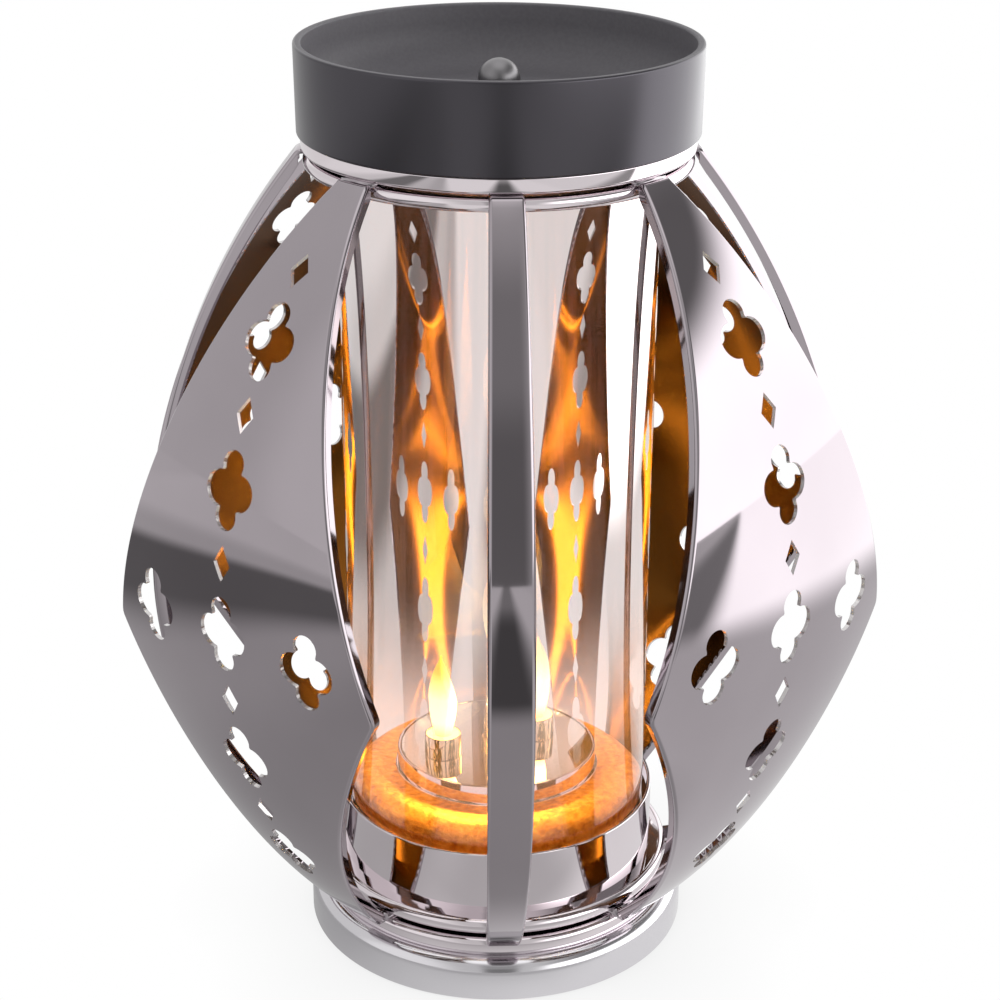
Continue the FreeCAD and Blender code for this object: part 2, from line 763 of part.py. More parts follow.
def petal_side(outline, sign, inset):
    """One long side of the petal: shoulder arc, rounded corner and hollow lower arc."""
    text = "" if sign > 0 else "-"
    half = {level: f"(petal_half_{level} - {inset})" for level in ("top", "shoulder", "waist", "foot")}
    middle = "(petal_half_belly - petal_corner_round)"
    turn = f"(petal_corner_round - {inset})"
    across, round_by, level = sign * size(middle), size(turn), size("petal_corner_height")
    top = (sign * size(half["top"]), size("collar_base"))
    shoulder = (sign * size(half["shoulder"]), size("petal_shoulder_height"))
    edge = (across + sign * round_by, level)
    above = (edge[0], level + round_by)
    below = (across, level - round_by)
    waist = (sign * size(half["waist"]), size("petal_waist_height"))
    foot = (sign * size(half["foot"]), size("foot_tab_base"))
    upper = arc_by_points(outline, above, shoulder, top)
    corner = arc_by_points(outline, (across, level + round_by), edge, below)
    lower = arc_by_points(outline, below, waist, foot)
    upper_low, upper_high = low_and_high_end(outline, upper)
    corner_low, corner_high = low_and_high_end(outline, corner)
    lower_low, lower_high = low_and_high_end(outline, lower)
    outline.addConstraint(Sketcher.Constraint("Tangent", upper, upper_low, corner, corner_high))
    outline.addConstraint(Sketcher.Constraint("Tangent", lower, lower_high, corner, corner_low))
    held = outline.addConstraint(Sketcher.Constraint("Radius", corner, round_by))
    outline.setExpression(f"Constraints[{held}]", bind(turn))
    place_vertex(outline, corner, 3, text + middle, "petal_corner_height")
    place_vertex(outline, upper, upper_high, text + half["top"], "collar_base")
    place_vertex(outline, lower, lower_low, text + half["foot"], "foot_tab_base")
    hold_on_arc(outline, upper, text + half["shoulder"], "petal_shoulder_height")
    hold_on_arc(outline, lower, text + half["waist"], "petal_waist_height")
    return (upper, upper_high), (lower, lower_low)


def petal_outline(name, inset):
    """The petal seen from outside, drawn in by an inset: a leaf with rounded side corners."""
    outline = face_sketch(name)
    close_outline(outline, [petal_side(outline, sign, inset) for sign in (1, -1)])
    return outline


def quatrefoil_punch():
    """Four overlapping round punches that point along +X from the origin's both sides."""
    lobes = []
    for name, radius, sideways, up in (
        ("upper", "lobe_tall_radius", "0", "lobe_tall_reach"),
        ("lower", "lobe_tall_radius", "0", "-lobe_tall_reach"),
        ("near", "lobe_wide_radius", "lobe_wide_reach", "0"),
        ("far", "lobe_wide_radius", "-lobe_wide_reach", "0"),
    ):
        lobe = DOC.addObject("Part::Cylinder", f"lobe_{name}")
        lobe.Placement = FreeCAD.Placement(FreeCAD.Vector(), FreeCAD.Rotation(FreeCAD.Vector(0, 1, 0), 90))
        lobe.setExpression("Radius", bind(radius))
        lobe.setExpression("Height", bind("punch_length"))
        lobe.setExpression("Placement.Base.x", bind("-punch_length / 2"))
        lobe.setExpression("Placement.Base.y", bind(sideways))
        lobe.setExpression("Placement.Base.z", bind(up))
        lobes.append(lobe)
    punch = DOC.addObject("Part::MultiFuse", "quatrefoil_punch")
    punch.Shapes = lobes
    punch.Refine = True
    return punch


def diamond_punch():
    sketch = face_sketch("diamond_outline")
    polygon(sketch, [
        ("diamond_half_width", "0"),
        ("0", "diamond_half_height"),
        ("-diamond_half_width", "0"),
        ("0", "-diamond_half_height"),
    ])
    return extrude("diamond_punch", sketch, (1, 0, 0), "punch_length / 2", "punch_length / 2")


def petal_punches():
    """The row of diamonds and quatrefoils along the petal's middle, and a quatrefoil on each side."""
    quatrefoil = quatrefoil_punch()
    diamond = diamond_punch()
    row = []
    for step in range(-HOLES_BELOW_MIDDLE, HOLES_ABOVE_MIDDLE + 1):
        tool = quatrefoil if step % 2 == 0 else diamond
        row.append((f"({step} * hole_pitch - middle_hole_drop)", "0", tool))
    for sideways in ("side_hole_reach", "-side_hole_reach"):
        row.append(("(-side_hole_drop)", sideways, quatrefoil))
    punches = []
    for number, (along, sideways, tool) in enumerate(row):
        arc = "petal_top_arc" if size(along) > 0 else "petal_foot_arc"
        lean = f"(180 / pi * {along} / {arc})"
        punch = DOC.addObject("Part::Compound", f"punch_{number}")
        punch.Links = [tool]
        punch.Placement = FreeCAD.Placement(FreeCAD.Vector(), FreeCAD.Rotation(FreeCAD.Vector(0, 1, 0), 1))
        punch.setExpression("Placement.Rotation.Angle", bind(f"-{lean}"))
        punch.setExpression("Placement.Base.x", bind(f"petal_belly - {arc} + {arc} * cos({lean})"))
        punch.setExpression("Placement.Base.y", bind(sideways))
        punch.setExpression("Placement.Base.z", bind(f"belly_height + {arc} * sin({lean})"))
        punches.append(punch)
    tools = DOC.addObject("Part::Compound", "petal_punches")
    tools.Links = punches
    return tools


def petal_tab(name, inside, outside, base):
    tab = DOC.addObject("Part::Box", name)
    tab.setExpression("Length", bind(f"{outside} - ({inside})"))
    tab.setExpression("Width", bind("2 * petal_tab_half"))
    tab.setExpression("Height", bind("leaf_thick"))
    tab.setExpression("Placement.Base.x", bind(inside))
    tab.setExpression("Placement.Base.y", bind("-petal_tab_half"))
    tab.setExpression("Placement.Base.z", bind(base))
    return tab


def build_petals():
    far = "2 * petal_belly"
    cutter = extrude("petal_cutter", petal_outline("petal_outline", "0"), (1, 0, 0), far)
    leaf = boolean("Common", "petal_leaf", petal_sheet("petal_sheet", "0", "leaf_thick"), cutter)
    pierced = boolean("Cut", "petal_pierced", leaf, petal_punches())
    deep = petal_sheet("petal_deep_sheet", "hem_start", "hem_depth")
    hollow = extrude("petal_hollow", petal_outline("petal_hollow_outline", "leaf_thick"), (1, 0, 0), far)
    hem = turned_hem("petal", deep, cutter, hollow)
    tabs = [
        petal_tab("petal_top_tab", "ring_bore + tab_gap", "petal_top_reach", "top_tab_base"),
        petal_tab("petal_foot_tab", "foot_bore + tab_gap", "petal_foot_reach", "foot_tab_base"),
    ]
    joined = DOC.addObject("Part::MultiFuse", "petal_joined")
    joined.Shapes = [pierced, hem] + tabs
    petal = boolean("Cut", "petal_master", joined, tab_holes("petal"))
    for place, bearing in PETALS.items():
        place_copy("petal_" + place, petal, turn=bearing)


def build_top():
    ring_top = "top_tab_base"
    ring = turned("upper_ring", [
        ("ring_bore", "upper_ring_base"),
        ("upper_ring_radius", "upper_ring_base"),
        ("upper_ring_radius", ring_top),
        ("ring_bore", ring_top),
    ])
    edges = [("upper_ring_radius", "upper_ring_base"), ("upper_ring_radius", ring_top)]
    round_circles(ring, edges, "upper_ring_round")
    through = "2 * upper_ring_height"
    drill(ring, "top_screw_circle", "top_screw_hole", ring_top, through, FASTENERS_PER_RING)
    head_top = "upper_ring_base + top_screw_head_height"
    drill(ring, "top_screw_circle", "top_screw_head + head_gap", head_top, through, FASTENERS_PER_RING)

    inner_spigot = "spigot_radius - spigot_wall"
    spigot_top = "collar_top + spigot_height"
    collar = turned("collar", [
        ("ring_bore", "collar_base"),
        ("collar_radius", "collar_base"),
        ("collar_radius", "collar_top"),
        ("spigot_radius", "collar_top"),
        ("spigot_radius", spigot_top),
        (inner_spigot, spigot_top),
        (inner_spigot, "collar_top"),
        ("ring_bore", "collar_top"),
    ])
    round_circles(collar, [("collar_radius", "collar_base")], "collar_round")
    bite_top = "collar_base + top_screw_bite + screw_end_gap"
    drill(collar, "top_screw_circle", "top_screw_hole", bite_top, "2 * top_screw_bite", FASTENERS_PER_RING)


def build_lid():
    skirt_inner = "lid_foot_radius - lid_wall"
    dish_radius = "lid_rim_radius - lid_wall"
    lid = turned("lid", [
        (skirt_inner, "lid_base"),
        ("lid_foot_radius", "lid_base"),
        ("lid_rim_radius", "lid_top"),
        (dish_radius, "lid_top"),
        (dish_radius, "dish_floor_height"),
        ("knob_screw_hole", "dish_floor_height"),
        ("knob_screw_hole", "dish_under"),
        (skirt_inner, "dish_under"),
    ])
    round_circles(lid, [(dish_radius, "dish_floor_height")], "dish_round")
    round_circles(lid, [("lid_rim_radius", "lid_top"), (dish_radius, "lid_top")], "rim_round")

    ball = DOC.addObject("Part::Sphere", "knob_ball")
    ball.setExpression("Radius", bind("knob_radius"))
    ball.setExpression("Placement.Base.z", bind("knob_height"))
    neck = DOC.addObject("Part::Cylinder", "knob_neck")
    neck.setExpression("Radius", bind("knob_neck_radius"))
    neck.setExpression("Height", bind("knob_height - dish_floor_height"))
    neck.setExpression("Placement.Base.z", bind("dish_floor_height"))
    blank = boolean("Fuse", "knob_blank", ball, neck)
    bore = DOC.addObject("Part::Cylinder", "knob_bore")
    bore.setExpression("Radius", bind("knob_screw_hole"))
    bore.setExpression("Height", bind("knob_bore_top - dish_floor_height"))
    bore.setExpression("Placement.Base.z", bind("dish_floor_height"))
    knob = boolean("Cut", "ball_knob", blank, bore)
    knob.Label = "ball_knob"

    head_base = "dish_under - knob_screw_head_height"
    turned("knob_screw", [
        ("0", head_base),
        ("knob_screw_head", head_base),
        ("knob_screw_head", "dish_under"),
        ("knob_screw_radius", "dish_under"),
        ("knob_screw_radius", "knob_bore_top"),
        ("0", "knob_bore_top"),
    ])


def candle_points():
    return {name: on_circle(*place) for name, place in CANDLES.items()}


def build_candle_unit():
    bead = "drum_radius + drum_bead"
    bead_top = "floor_top + drum_bead_height"
    wall = "drum_radius - drum_wall"
    turned("candle_drum", [
        (wall, "floor_top"),
        (bead, "floor_top"),
        (bead, bead_top),
        ("drum_radius", bead_top),
        ("drum_radius", "drum_top"),
        (wall, "drum_top"),
        (wall, "mirror_base"),
        (f"{wall} - drum_ledge", "mirror_base"),
        (f"{wall} - drum_ledge", "mirror_base - drum_wall"),
        (wall, "mirror_base - drum_wall"),
    ])

    mirror = new_body("mirror_plate")
    sketch = new_sketch(mirror, "XY_Plane", "mirror_base")
    circle(sketch, f"{wall} - mirror_gap")
    for across, up in list(candle_points().values()) + [("0", "0")]:
        circle(sketch, "lamp_bore", across, up)
    pad(mirror, sketch, "mirror_thick")

    board = new_body("lamp_board")
    sketch = new_sketch(board, "XY_Plane", "floor_top")
    circle(sketch, "board_radius")
    pad(board, sketch, "board_thick")

    lamps = new_body("lamps")
    tops = {name: (place, "wax_top") for name, place in candle_points().items()}
    tops["tall"] = (("0", "0"), "stick_top")
    for (across, up), top in tops.values():
        sketch = new_sketch(lamps, "XY_Plane", "board_top")
        circle(sketch, "lead_radius", across, up)
        pad(lamps, sketch, f"{top} - lamp_length - board_top")
        sketch = new_sketch(lamps, "XY_Plane", f"{top} - lamp_length")
        circle(sketch, "lamp_radius", across, up)
        pad(lamps, sketch, "lamp_length")


def tube_master(name, outer, inner, height):
    return turned(name, [(inner, "0"), (outer, "0"), (outer, height), (inner, height)])


def flame_master():
    """A teardrop lamp with a curled tip, lofted through circles."""
    sections = []
    for number, (rise, swell, curl) in enumerate(FLAME_SECTIONS):
        sketch = DOC.addObject("Sketcher::SketchObject", f"flame_level_{number}")
        sketch.setExpression("Placement.Base.z", bind(f"{rise} * flame_height"))
        circle(sketch, f"{swell} * flame_radius", f"{curl} * flame_curl", "0")
        sections.append(sketch)
    flame = DOC.addObject("Part::Loft", "flame_master")
    flame.Sections = sections
    flame.Solid = True
    flame.Ruled = False
    return flame


def build_candles():
    cup_inner = "cup_radius - cup_wall"
    cup = turned("cup_master", [
        ("lamp_bore", "0"),
        ("cup_radius", "0"),
        ("cup_radius", "cup_height"),
        (cup_inner, "cup_height"),
        (cup_inner, "cup_wall"),
        ("lamp_bore", "cup_wall"),
    ])
    wax = tube_master("wax_master", f"{cup_inner} - wax_gap", "lamp_bore", "wax_top - wax_base")
    flame = flame_master()
    for name, (across, up) in candle_points().items():
        place_copy("cup_" + name, cup, across, up, "mirror_top")
        place_copy("candle_" + name, wax, across, up, "wax_base")
        place_copy("flame_" + name, flame, across, up, "wax_top", turn=CANDLES[name][1])
    place_copy("flame_tall", flame, "0", "0", "stick_top", turn=TALL_FLAME_BEARING)
    stick_bases = {"collar": "mirror_top", "sleeve": "stick_sleeve_base", "stem": "stick_stem_base"}
    for part, base in stick_bases.items():
        tube = tube_master(
            f"stick_{part}_master", f"stick_{part}_radius", "lamp_bore", f"stick_{part}_height")
        place_copy("stick_" + part, tube, "0", "0", base)


def build_base_plate():
    plate = new_body("base_plate")
    sketch = new_sketch(plate, "XY_Plane")
    circle(sketch, "base_plate_radius")
    rectangle(sketch, "(door_half_length + door_gap)", "(door_half_width + door_gap)")
    rectangle(sketch, "slot_half_length", "slot_half_width", "0", "-switch_out")
    pad(plate, sketch, "base_thick")
    post = new_sketch(plate, "XY_Plane", "base_thick")
    circle(post, "base_post_radius", *on_circle("base_screw_circle", BASE_SCREW_TURN))
    polar(plate, [pad(plate, post, "flange_base - base_thick")], BASE_SCREWS)
    DOC.recompute()
    head_top = "base_screw_recess + base_screw_head_height"
    for radius, top in (("base_screw_hole", "flange_base"), ("base_screw_head + head_gap", head_top)):
        drill(plate, "base_screw_circle", radius, top, "2 * flange_base", BASE_SCREWS, BASE_SCREW_TURN)


def build_battery_bay():
    box = new_body("battery_box")
    sketch = new_sketch(box, "XY_Plane", "base_thick")
    rectangle(sketch, "box_half_length", "box_half_width")
    pad(box, sketch, "box_height")
    hollow = new_sketch(box, "XY_Plane", "base_thick + box_height - box_wall")
    rectangle(hollow, "(box_half_length - box_wall)", "(box_half_width - box_wall)")
    pocket(box, hollow, "2 * box_height")

    door = new_body("battery_door")
    sketch = new_sketch(door, "XY_Plane", "door_recess")
    rectangle(sketch, "door_half_length", "door_half_width")
    pad(door, sketch, "door_thick")
    DOC.recompute()
    hinge_edges = []
    for i, edge in enumerate(door.Shape.Edges, 1):
        middle = edge.CenterOfMass
        if abs(middle.y - size("door_half_width")) < TOLERANCE and abs(middle.x) < TOLERANCE:
            hinge_edges.append(f"Edge{i}")
    fillet(door, hinge_edges, "door_edge_round")
    notch = new_sketch(door, "XY_Plane", "door_recess + thumb_notch_depth")
    circle(notch, "thumb_notch_radius", "0", "-(door_half_width - 1.5 * thumb_notch_radius)")
    pocket(door, notch, "2 * thumb_notch_depth")

    cells = new_body("battery_cells")
    for start, radius, length in (
        ("cell_start", "cell_radius", "cell_length"),
        ("cell_start + cell_length", "cell_nub_radius", "cell_nub_length"),
    ):
        sketch = new_sketch(cells, "YZ_Plane", start)
        for place in (-1, 0, 1):
            circle(sketch, radius, f"{place} * cell_pitch", "cell_height")
        pad(cells, sketch, length)

    plates = new_body("contact_plates")
    sketch = new_sketch(plates, "YZ_Plane", "door_half_length + door_gap - contact_thick")
    for place in (-1, 0, 1):
        rectangle(sketch, "contact_half_width", "leaf_spring_half", f"{place} * cell_pitch", "cell_height")
    pad(plates, sketch, "contact_thick")

    springs = new_body("contact_springs")
    wall = "-(door_half_length + door_gap)"
    face = f"{wall} + leaf_spring_thick"
    high, low = "cell_height + leaf_spring_half", "cell_height - leaf_spring_half"
    for place in (-1, 0, 1):
        sketch = new_sketch(springs, "XZ_Plane", f"-({place} * cell_pitch)")
        polygon(sketch, [
            (wall, low),
            (face, low),
            (face, f"{high} - leaf_spring_thick"),
            ("cell_start - leaf_spring_thick", "cell_height - leaf_spring_thick"),
            ("cell_start", "cell_height"),
            (face, high),
            (wall, high),
        ])
        pad(springs, sketch, "2 * contact_half_width", midplane=True)


def build_switch():
    case = new_body("switch_case")
    sketch = new_sketch(case, "XY_Plane", "base_thick")
    rectangle(sketch, "switch_half_length", "switch_half_width", "0", "-switch_out")
    pad(case, sketch, "switch_height")
    slot = new_sketch(case, "XY_Plane", "base_thick + slot_depth")
    rectangle(slot, "slot_half_length", "slot_half_width", "0", "-switch_out")
    pocket(case, slot, "2 * slot_depth")

    slider = new_body("switch_slider")
    sketch = new_sketch(slider, "XY_Plane", "slider_recess")
    middle = "-(slot_half_length - slider_end_gap - slider_half_length)"
    rectangle(sketch, "slider_half_length", "slider_half_width", middle, "-switch_out")
    pad(slider, sketch, "slider_height")


def build_fasteners():
    fasteners("foot_bolts", "foot_bolt_circle", [
        ("foot_bolt_head", "flange_base - foot_bolt_head_height", "foot_bolt_head_height"),
        ("foot_bolt_radius", "flange_base", "foot_bolt_top - flange_base"),
    ], FASTENERS_PER_RING)

    nuts = new_body("foot_nuts")
    sketch = new_sketch(nuts, "XY_Plane", "pedestal_base + spun_wall")
    corners = []
    for side in range(NUT_SIDES):
        out, up = on_circle("nut_radius", side * 360 / NUT_SIDES)
        corners.append((f"foot_bolt_circle + {out}", up))
    polygon(sketch, corners)
    circle(sketch, "foot_bolt_hole", "foot_bolt_circle", "0")
    polar(nuts, [pad(nuts, sketch, "nut_height")], FASTENERS_PER_RING)

    head_top = "upper_ring_base + top_screw_head_height"
    fasteners("top_screws", "top_screw_circle", [
        ("top_screw_head", "upper_ring_base", "top_screw_head_height"),
        ("top_screw_radius", head_top, f"collar_base + top_screw_bite - ({head_top})"),
    ], FASTENERS_PER_RING)

    head_top = "base_screw_recess + base_screw_head_height"
    fasteners("base_screws", "base_screw_circle", [
        ("base_screw_head", "base_screw_recess", "base_screw_head_height"),
        ("base_screw_radius", head_top, f"foot_height - ({head_top})"),
    ], BASE_SCREWS, BASE_SCREW_TURN)


def finished_pieces():
    """The pieces to hand over: named bodies, the knob and the placed copies."""
    masters = [item for item in DOC.Objects if item.Name.endswith("_master")]
    pieces = [item for item in DOC.Objects if item.TypeId == "PartDesign::Body" and item not in masters]
    pieces += [item for item in DOC.Objects if item.TypeId == "Part::Compound" and item.Links[0] in masters]
    return pieces + [DOC.getObject("ball_knob")]


def check_and_write():
    DOC.recompute()
    for item in DOC.Objects:
        if "Invalid" in item.State or "Error" in item.State:
            raise RuntimeError(f"{item.Label} did not build: {item.State}")
    os.makedirs("parts", exist_ok=True)
    for piece in finished_pieces():
        if piece.Shape.isNull() or not piece.Shape.isValid():
            raise RuntimeError(f"{piece.Label} has no valid shape")
        piece.Shape.exportStep(f"parts/{piece.Label}.step")
        print(piece.Label, "solids", len(piece.Shape.Solids), "volume", round(piece.Shape.Volume, 1))


fill_sheet()
build_foot()
build_stack_ring("lower_ring", "lower_ring_radius", "foot_height", "lower_ring_height", ["foot_tab_base"])
build_stack_ring("bead_ring", "bead_ring_radius", "bead_ring_base", "bead_ring_height",
                 ["bead_ring_base", "pedestal_base"])
build_pedestal()
build_floor_plate()
build_glass()
build_straps()
build_petals()
build_top()
build_lid()
build_candle_unit()
build_candles()
build_base_plate()
build_battery_bay()
build_switch()
build_fasteners()
check_and_write()
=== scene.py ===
"""Looks of the candle lantern: fine meshes, materials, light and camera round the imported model.

Sizes are written in millimetres and turned into metres when a mesh is made.
"""

import math

import bmesh
import bpy
from mathutils import Matrix, Vector, geometry


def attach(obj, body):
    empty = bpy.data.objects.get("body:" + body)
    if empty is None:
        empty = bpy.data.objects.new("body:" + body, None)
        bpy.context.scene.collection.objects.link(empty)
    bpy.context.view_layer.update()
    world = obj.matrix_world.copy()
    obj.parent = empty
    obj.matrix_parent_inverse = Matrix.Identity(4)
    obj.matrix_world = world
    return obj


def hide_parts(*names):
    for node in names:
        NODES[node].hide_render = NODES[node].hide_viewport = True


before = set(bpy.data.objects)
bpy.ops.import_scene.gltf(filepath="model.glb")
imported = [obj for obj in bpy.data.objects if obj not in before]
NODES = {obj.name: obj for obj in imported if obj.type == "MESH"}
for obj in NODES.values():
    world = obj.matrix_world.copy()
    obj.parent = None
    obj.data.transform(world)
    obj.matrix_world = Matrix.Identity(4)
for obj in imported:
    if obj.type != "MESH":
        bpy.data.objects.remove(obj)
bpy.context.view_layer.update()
MM = 0.001
LANTERN = "lantern"
LID = "lid_unit"

# Fineness of the meshes
SEGMENTS, SMALL_SEGMENTS = 160, 64
ARC_STEPS, SMALL_ARC_STEPS = 8, 4
STRAP_FOLD_STEPS, HEM_FOLD_STEPS = 6, 5
SURFACE_STEP = 0.2
MERGE_DISTANCE = 0.001
SHARP_ANGLE = math.radians(32)

# Camera fitted to the circles of the photograph
CAMERA_DISTANCE = 670.65
CAMERA_HEIGHT = 429.08
CAMERA_PITCH = 22.609
CAMERA_TURN = 2.2
CAMERA_ROLL = 0.22
FOCAL_PIXELS = 2226.3
IMAGE_PIXELS = 1000
CENTRE_PIXEL = 497.5
SENSOR = 36.0

# Walls and edge roundings that several pieces share
LEAF_THICK, SPUN_WALL = 1.2, 1.5
CUT_EDGE, FINE_EDGE, SMALL_EDGE, SOFT_EDGE, LIP_EDGE = 0.2, 0.3, 0.4, 0.5, 0.75

# Foot and pedestal; the leaves' foot tabs lie between the lower ring and the bead ring
FOOT_RADIUS, FOOT_HEIGHT, FOOT_SHOULDER, FOOT_BORE = 64, 13.8, 4.8, 43
LOWER_RING_RADIUS, LOWER_RING_TOP, LOWER_RING_EDGE = 59, 19.5, 0.6
FOOT_TAB = LOWER_RING_TOP
BEAD_RING_RADIUS, BEAD_RING_BASE, BEAD_RING_TOP = 58.5, FOOT_TAB + LEAF_THICK, 26
FOOT_RING_ROUND = 2.4
PEDESTAL_RADIUS, PEDESTAL_TOP, PEDESTAL_WALL = 52.9, 47.8, 1.2
DECK_TOP, DECK_HOLE = 45, 8
FLOOR_RADIUS, FLOOR_TOP, FLOOR_WALL, FLOOR_ROUND = 47.2, 55.2, 1, 5
GLASS_RADIUS, GLASS_WALL, GLASS_TOP = 50, 2, 266
LUSTRE_START, LUSTRE_FULL = 62, 140

# Top; the leaves' top tabs lie between the upper ring and the collar
RING_BORE = 50.8
UPPER_RING_RADIUS, UPPER_RING_BASE, UPPER_RING_TOP, UPPER_RING_ROUND = 60, 262, 266.4, 2
TOP_TAB = UPPER_RING_TOP
COLLAR_RADIUS, COLLAR_BASE, COLLAR_TOP, COLLAR_ROUND = 60.6, TOP_TAB + LEAF_THICK, 272.4, 1.2
SPIGOT_RADIUS, SPIGOT_WALL, SPIGOT_TOP = 58.7, 1.5, 276.5
LID_FOOT_RADIUS, LID_RIM_RADIUS, LID_WALL = 61.75, 62.1, 2.5
LID_BASE, LID_TOP, LID_INNER_ROUND = 272.7, 300, 1
DISH_FLOOR, DISH_UNDER, DISH_ROUND = 280, 277.6, 14
KNOB_RADIUS, KNOB_HEIGHT, KNOB_NECK, KNOB_HOLE = 6.5, 287.7, 3, 1.5

# Petals and straps
HEM_DEPTH, HEM_SPARE, HEM_CLEARANCE = 3.6, 0.05, 61.2
TAB_GAP = 0.5
BELLY_HEIGHT = 146.7
PETAL_BELLY, PETAL_TOP_REACH, PETAL_FOOT_REACH = 118.1, 61.8, 63
BOW_TOP, BOW_BELLY, BOW_FOOT = 78, 287, 66
PETAL_HALF_TOP, PETAL_HALF_BELLY, PETAL_HALF_FOOT = 6.2, 56, 6.8
PETAL_CORNER_HEIGHT, PETAL_CORNER_ROUND = 130.6, 4
PETAL_SHOULDER = (37.5, 187)
PETAL_WAIST = (30.7, 80)
PETAL_TAB_HALF = 6
STRAP_BELLY_HEIGHT = 125
STRAP_BELLY, STRAP_TOP_REACH, STRAP_FOOT_REACH = 112.5, 61.6, 62.4
STRAP_HALF_TOP, STRAP_HALF_BELLY, STRAP_HALF_FOOT = 5.2, 6.9, 5.6
STRAP_BEND = 3.2
HOLE_PITCH, MIDDLE_HOLE_DROP, SIDE_HOLE_DROP, SIDE_HOLE_REACH = 22.15, 3.7, 5.5, 33.5
HOLES_BELOW, HOLES_ABOVE = 4, 5
TIP_LOBE_OUT, TIP_LOBE_RADIUS = 7.6, 4.3
SIDE_LOBE_OUT, SIDE_LOBE_RADIUS = 4.2, 5.4
DIAMOND_HALF_WIDTH, DIAMOND_HALF_HEIGHT = 3.5, 5.5
PETALS = {"front_right": -45, "back_right": 45, "back_left": 135, "front_left": 225}
STRAPS = {"front": -90, "right": 0, "back": 90, "left": 180}

# Candle unit; a candle has its distance from the axis and its bearing, a stick part its radius and length
DRUM_RADIUS, DRUM_TOP, DRUM_WALL, DRUM_BEAD, DRUM_BEAD_HEIGHT = 32.9, 62.6, 0.9, 0.8, 1.2
MIRROR_DROP, MIRROR_THICK, MIRROR_GAP, MIRROR_EDGE = 0.2, 0.9, 0.2, 0.15
MIRROR_TOP = DRUM_TOP - MIRROR_DROP
CUP_RADIUS, CUP_HEIGHT, CUP_WALL = 6, 7.8, 0.5
WAX_RADIUS, WAX_DROP, LAMP_BORE = 5.45, 0.3, 1.7
WAX_TOP = MIRROR_TOP + CUP_HEIGHT - WAX_DROP
CANDLES = {"front_left": (19.4, 202), "right": (14.7, 24), "back": (20, 72)}
STICK = {"collar": (5, 2.7), "sleeve": (4.1, 10.5), "stem": (3.5, 23.1)}
STICK_TOP = MIRROR_TOP + sum(length for _, length in STICK.values())
TALL_FLAME_BEARING = 180
FLAME_HEIGHT, FLAME_RADIUS = 28.3, 4.6
FLAME_FOOT, FLAME_BELLY, FLAME_TIP = 0.6, 0.4, 0.08
FLAME_CURL, FLAME_CURL_SPAN = 1, 0.8

# Stage and lamps
STAGE_HALF = 4000
SEEN_FLOOR_LEVEL, MIRRORED_FLOOR_LEVEL = -0.4, -1
SHADOW_REACH, SHADOW_LEVEL = 50, 0.8
SHORT_LAMP_POWER, TALL_LAMP_POWER = 0.32, 1.15
LAMP_RADIUS, LAMP_LIFT = 1.5, 9
LAMP_COLOUR = (1.0, 0.82, 0.34)


# Mesh helpers

def link(node, mesh, body, materials):
    """A new piece that rides on a body, stands for a CAD node and takes the given materials."""
    piece = bpy.data.objects.new(node + "_skin", mesh)
    bpy.context.scene.collection.objects.link(piece)
    for material in materials:
        mesh.materials.append(material)
    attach(piece, body)
    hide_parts(node)
    return piece


def new_mesh(name, points, faces):
    mesh = bpy.data.meshes.new(name)
    mesh.from_pydata([Vector(point) * MM for point in points], [], faces)
    return mesh


def smooth_mesh(name, points, faces):
    """A mesh without doubled points, its faces turned outwards and smooth up to the sharp angle."""
    mesh = new_mesh(name, points, faces)
    work = bmesh.new()
    work.from_mesh(mesh)
    bmesh.ops.remove_doubles(work, verts=work.verts, dist=MERGE_DISTANCE * MM)
    bmesh.ops.recalc_face_normals(work, faces=work.faces)
    work.to_mesh(mesh)
    work.free()
    mesh.shade_smooth()
    mesh.set_sharp_from_angle(angle=SHARP_ANGLE)
    return mesh


def rounded(corners, steps=ARC_STEPS, closed=True):
    """A line through corners of (across, up, rounding), with an arc at each rounded corner."""
    points = []
    count = len(corners)
    for i, (across, up, rounding) in enumerate(corners):
        here = Vector((across, up))
        at_end = not closed and i in (0, count - 1)
        if rounding == 0 or at_end:
            points.append(here)
            continue
        before = (Vector(corners[i - 1][:2]) - here).normalized()
        after = (Vector(corners[(i + 1) % count][:2]) - here).normalized()
        half = before.angle(after) / 2
        middle = here + (before + after).normalized() * rounding / math.sin(half)
        start = here + before * rounding / math.tan(half) - middle
        swing = start.angle_signed(here + after * rounding / math.tan(half) - middle)
        for step in range(steps + 1):
            points.append(middle + Matrix.Rotation(-swing * step / steps, 2) @ start)
    return points


def lathe_mesh(name, corners, segments=SEGMENTS, steps=ARC_STEPS):
    """A closed section of (radius, height, rounding) corners, spun about the axis."""
    section = rounded(corners, steps)
    rows = len(section)
    points = []
    faces = []
    for i in range(segments):
        turn = 2 * math.pi * i / segments
        points += [(point.x * math.cos(turn), point.x * math.sin(turn), point.y) for point in section]
        following = (i + 1) % segments
        for j in range(rows):
            k = (j + 1) % rows
            faces.append((i * rows + j, following * rows + j, following * rows + k, i * rows + k))
    return smooth_mesh(name, points, faces)


def tube_faces(rings, around):
    """Faces of a tube through rings of points, one after the other, with both ends closed."""
    faces = []
    for i in range(1, rings):
        last, base = (i - 1) * around, i * around
        for j in range(around):
            k = (j + 1) % around
            faces.append((last + j, last + k, base + k, base + j))
    count = rings * around
    return faces + [tuple(range(around - 1, -1, -1)), tuple(range(count - around, count))]


def turned(node, corners, material, body=LANTERN, segments=SEGMENTS):
    """A turned piece in one material."""
    mesh = lathe_mesh(node + "_skin", corners, segments)
    return link(node, mesh, body, [material])


# Material helpers

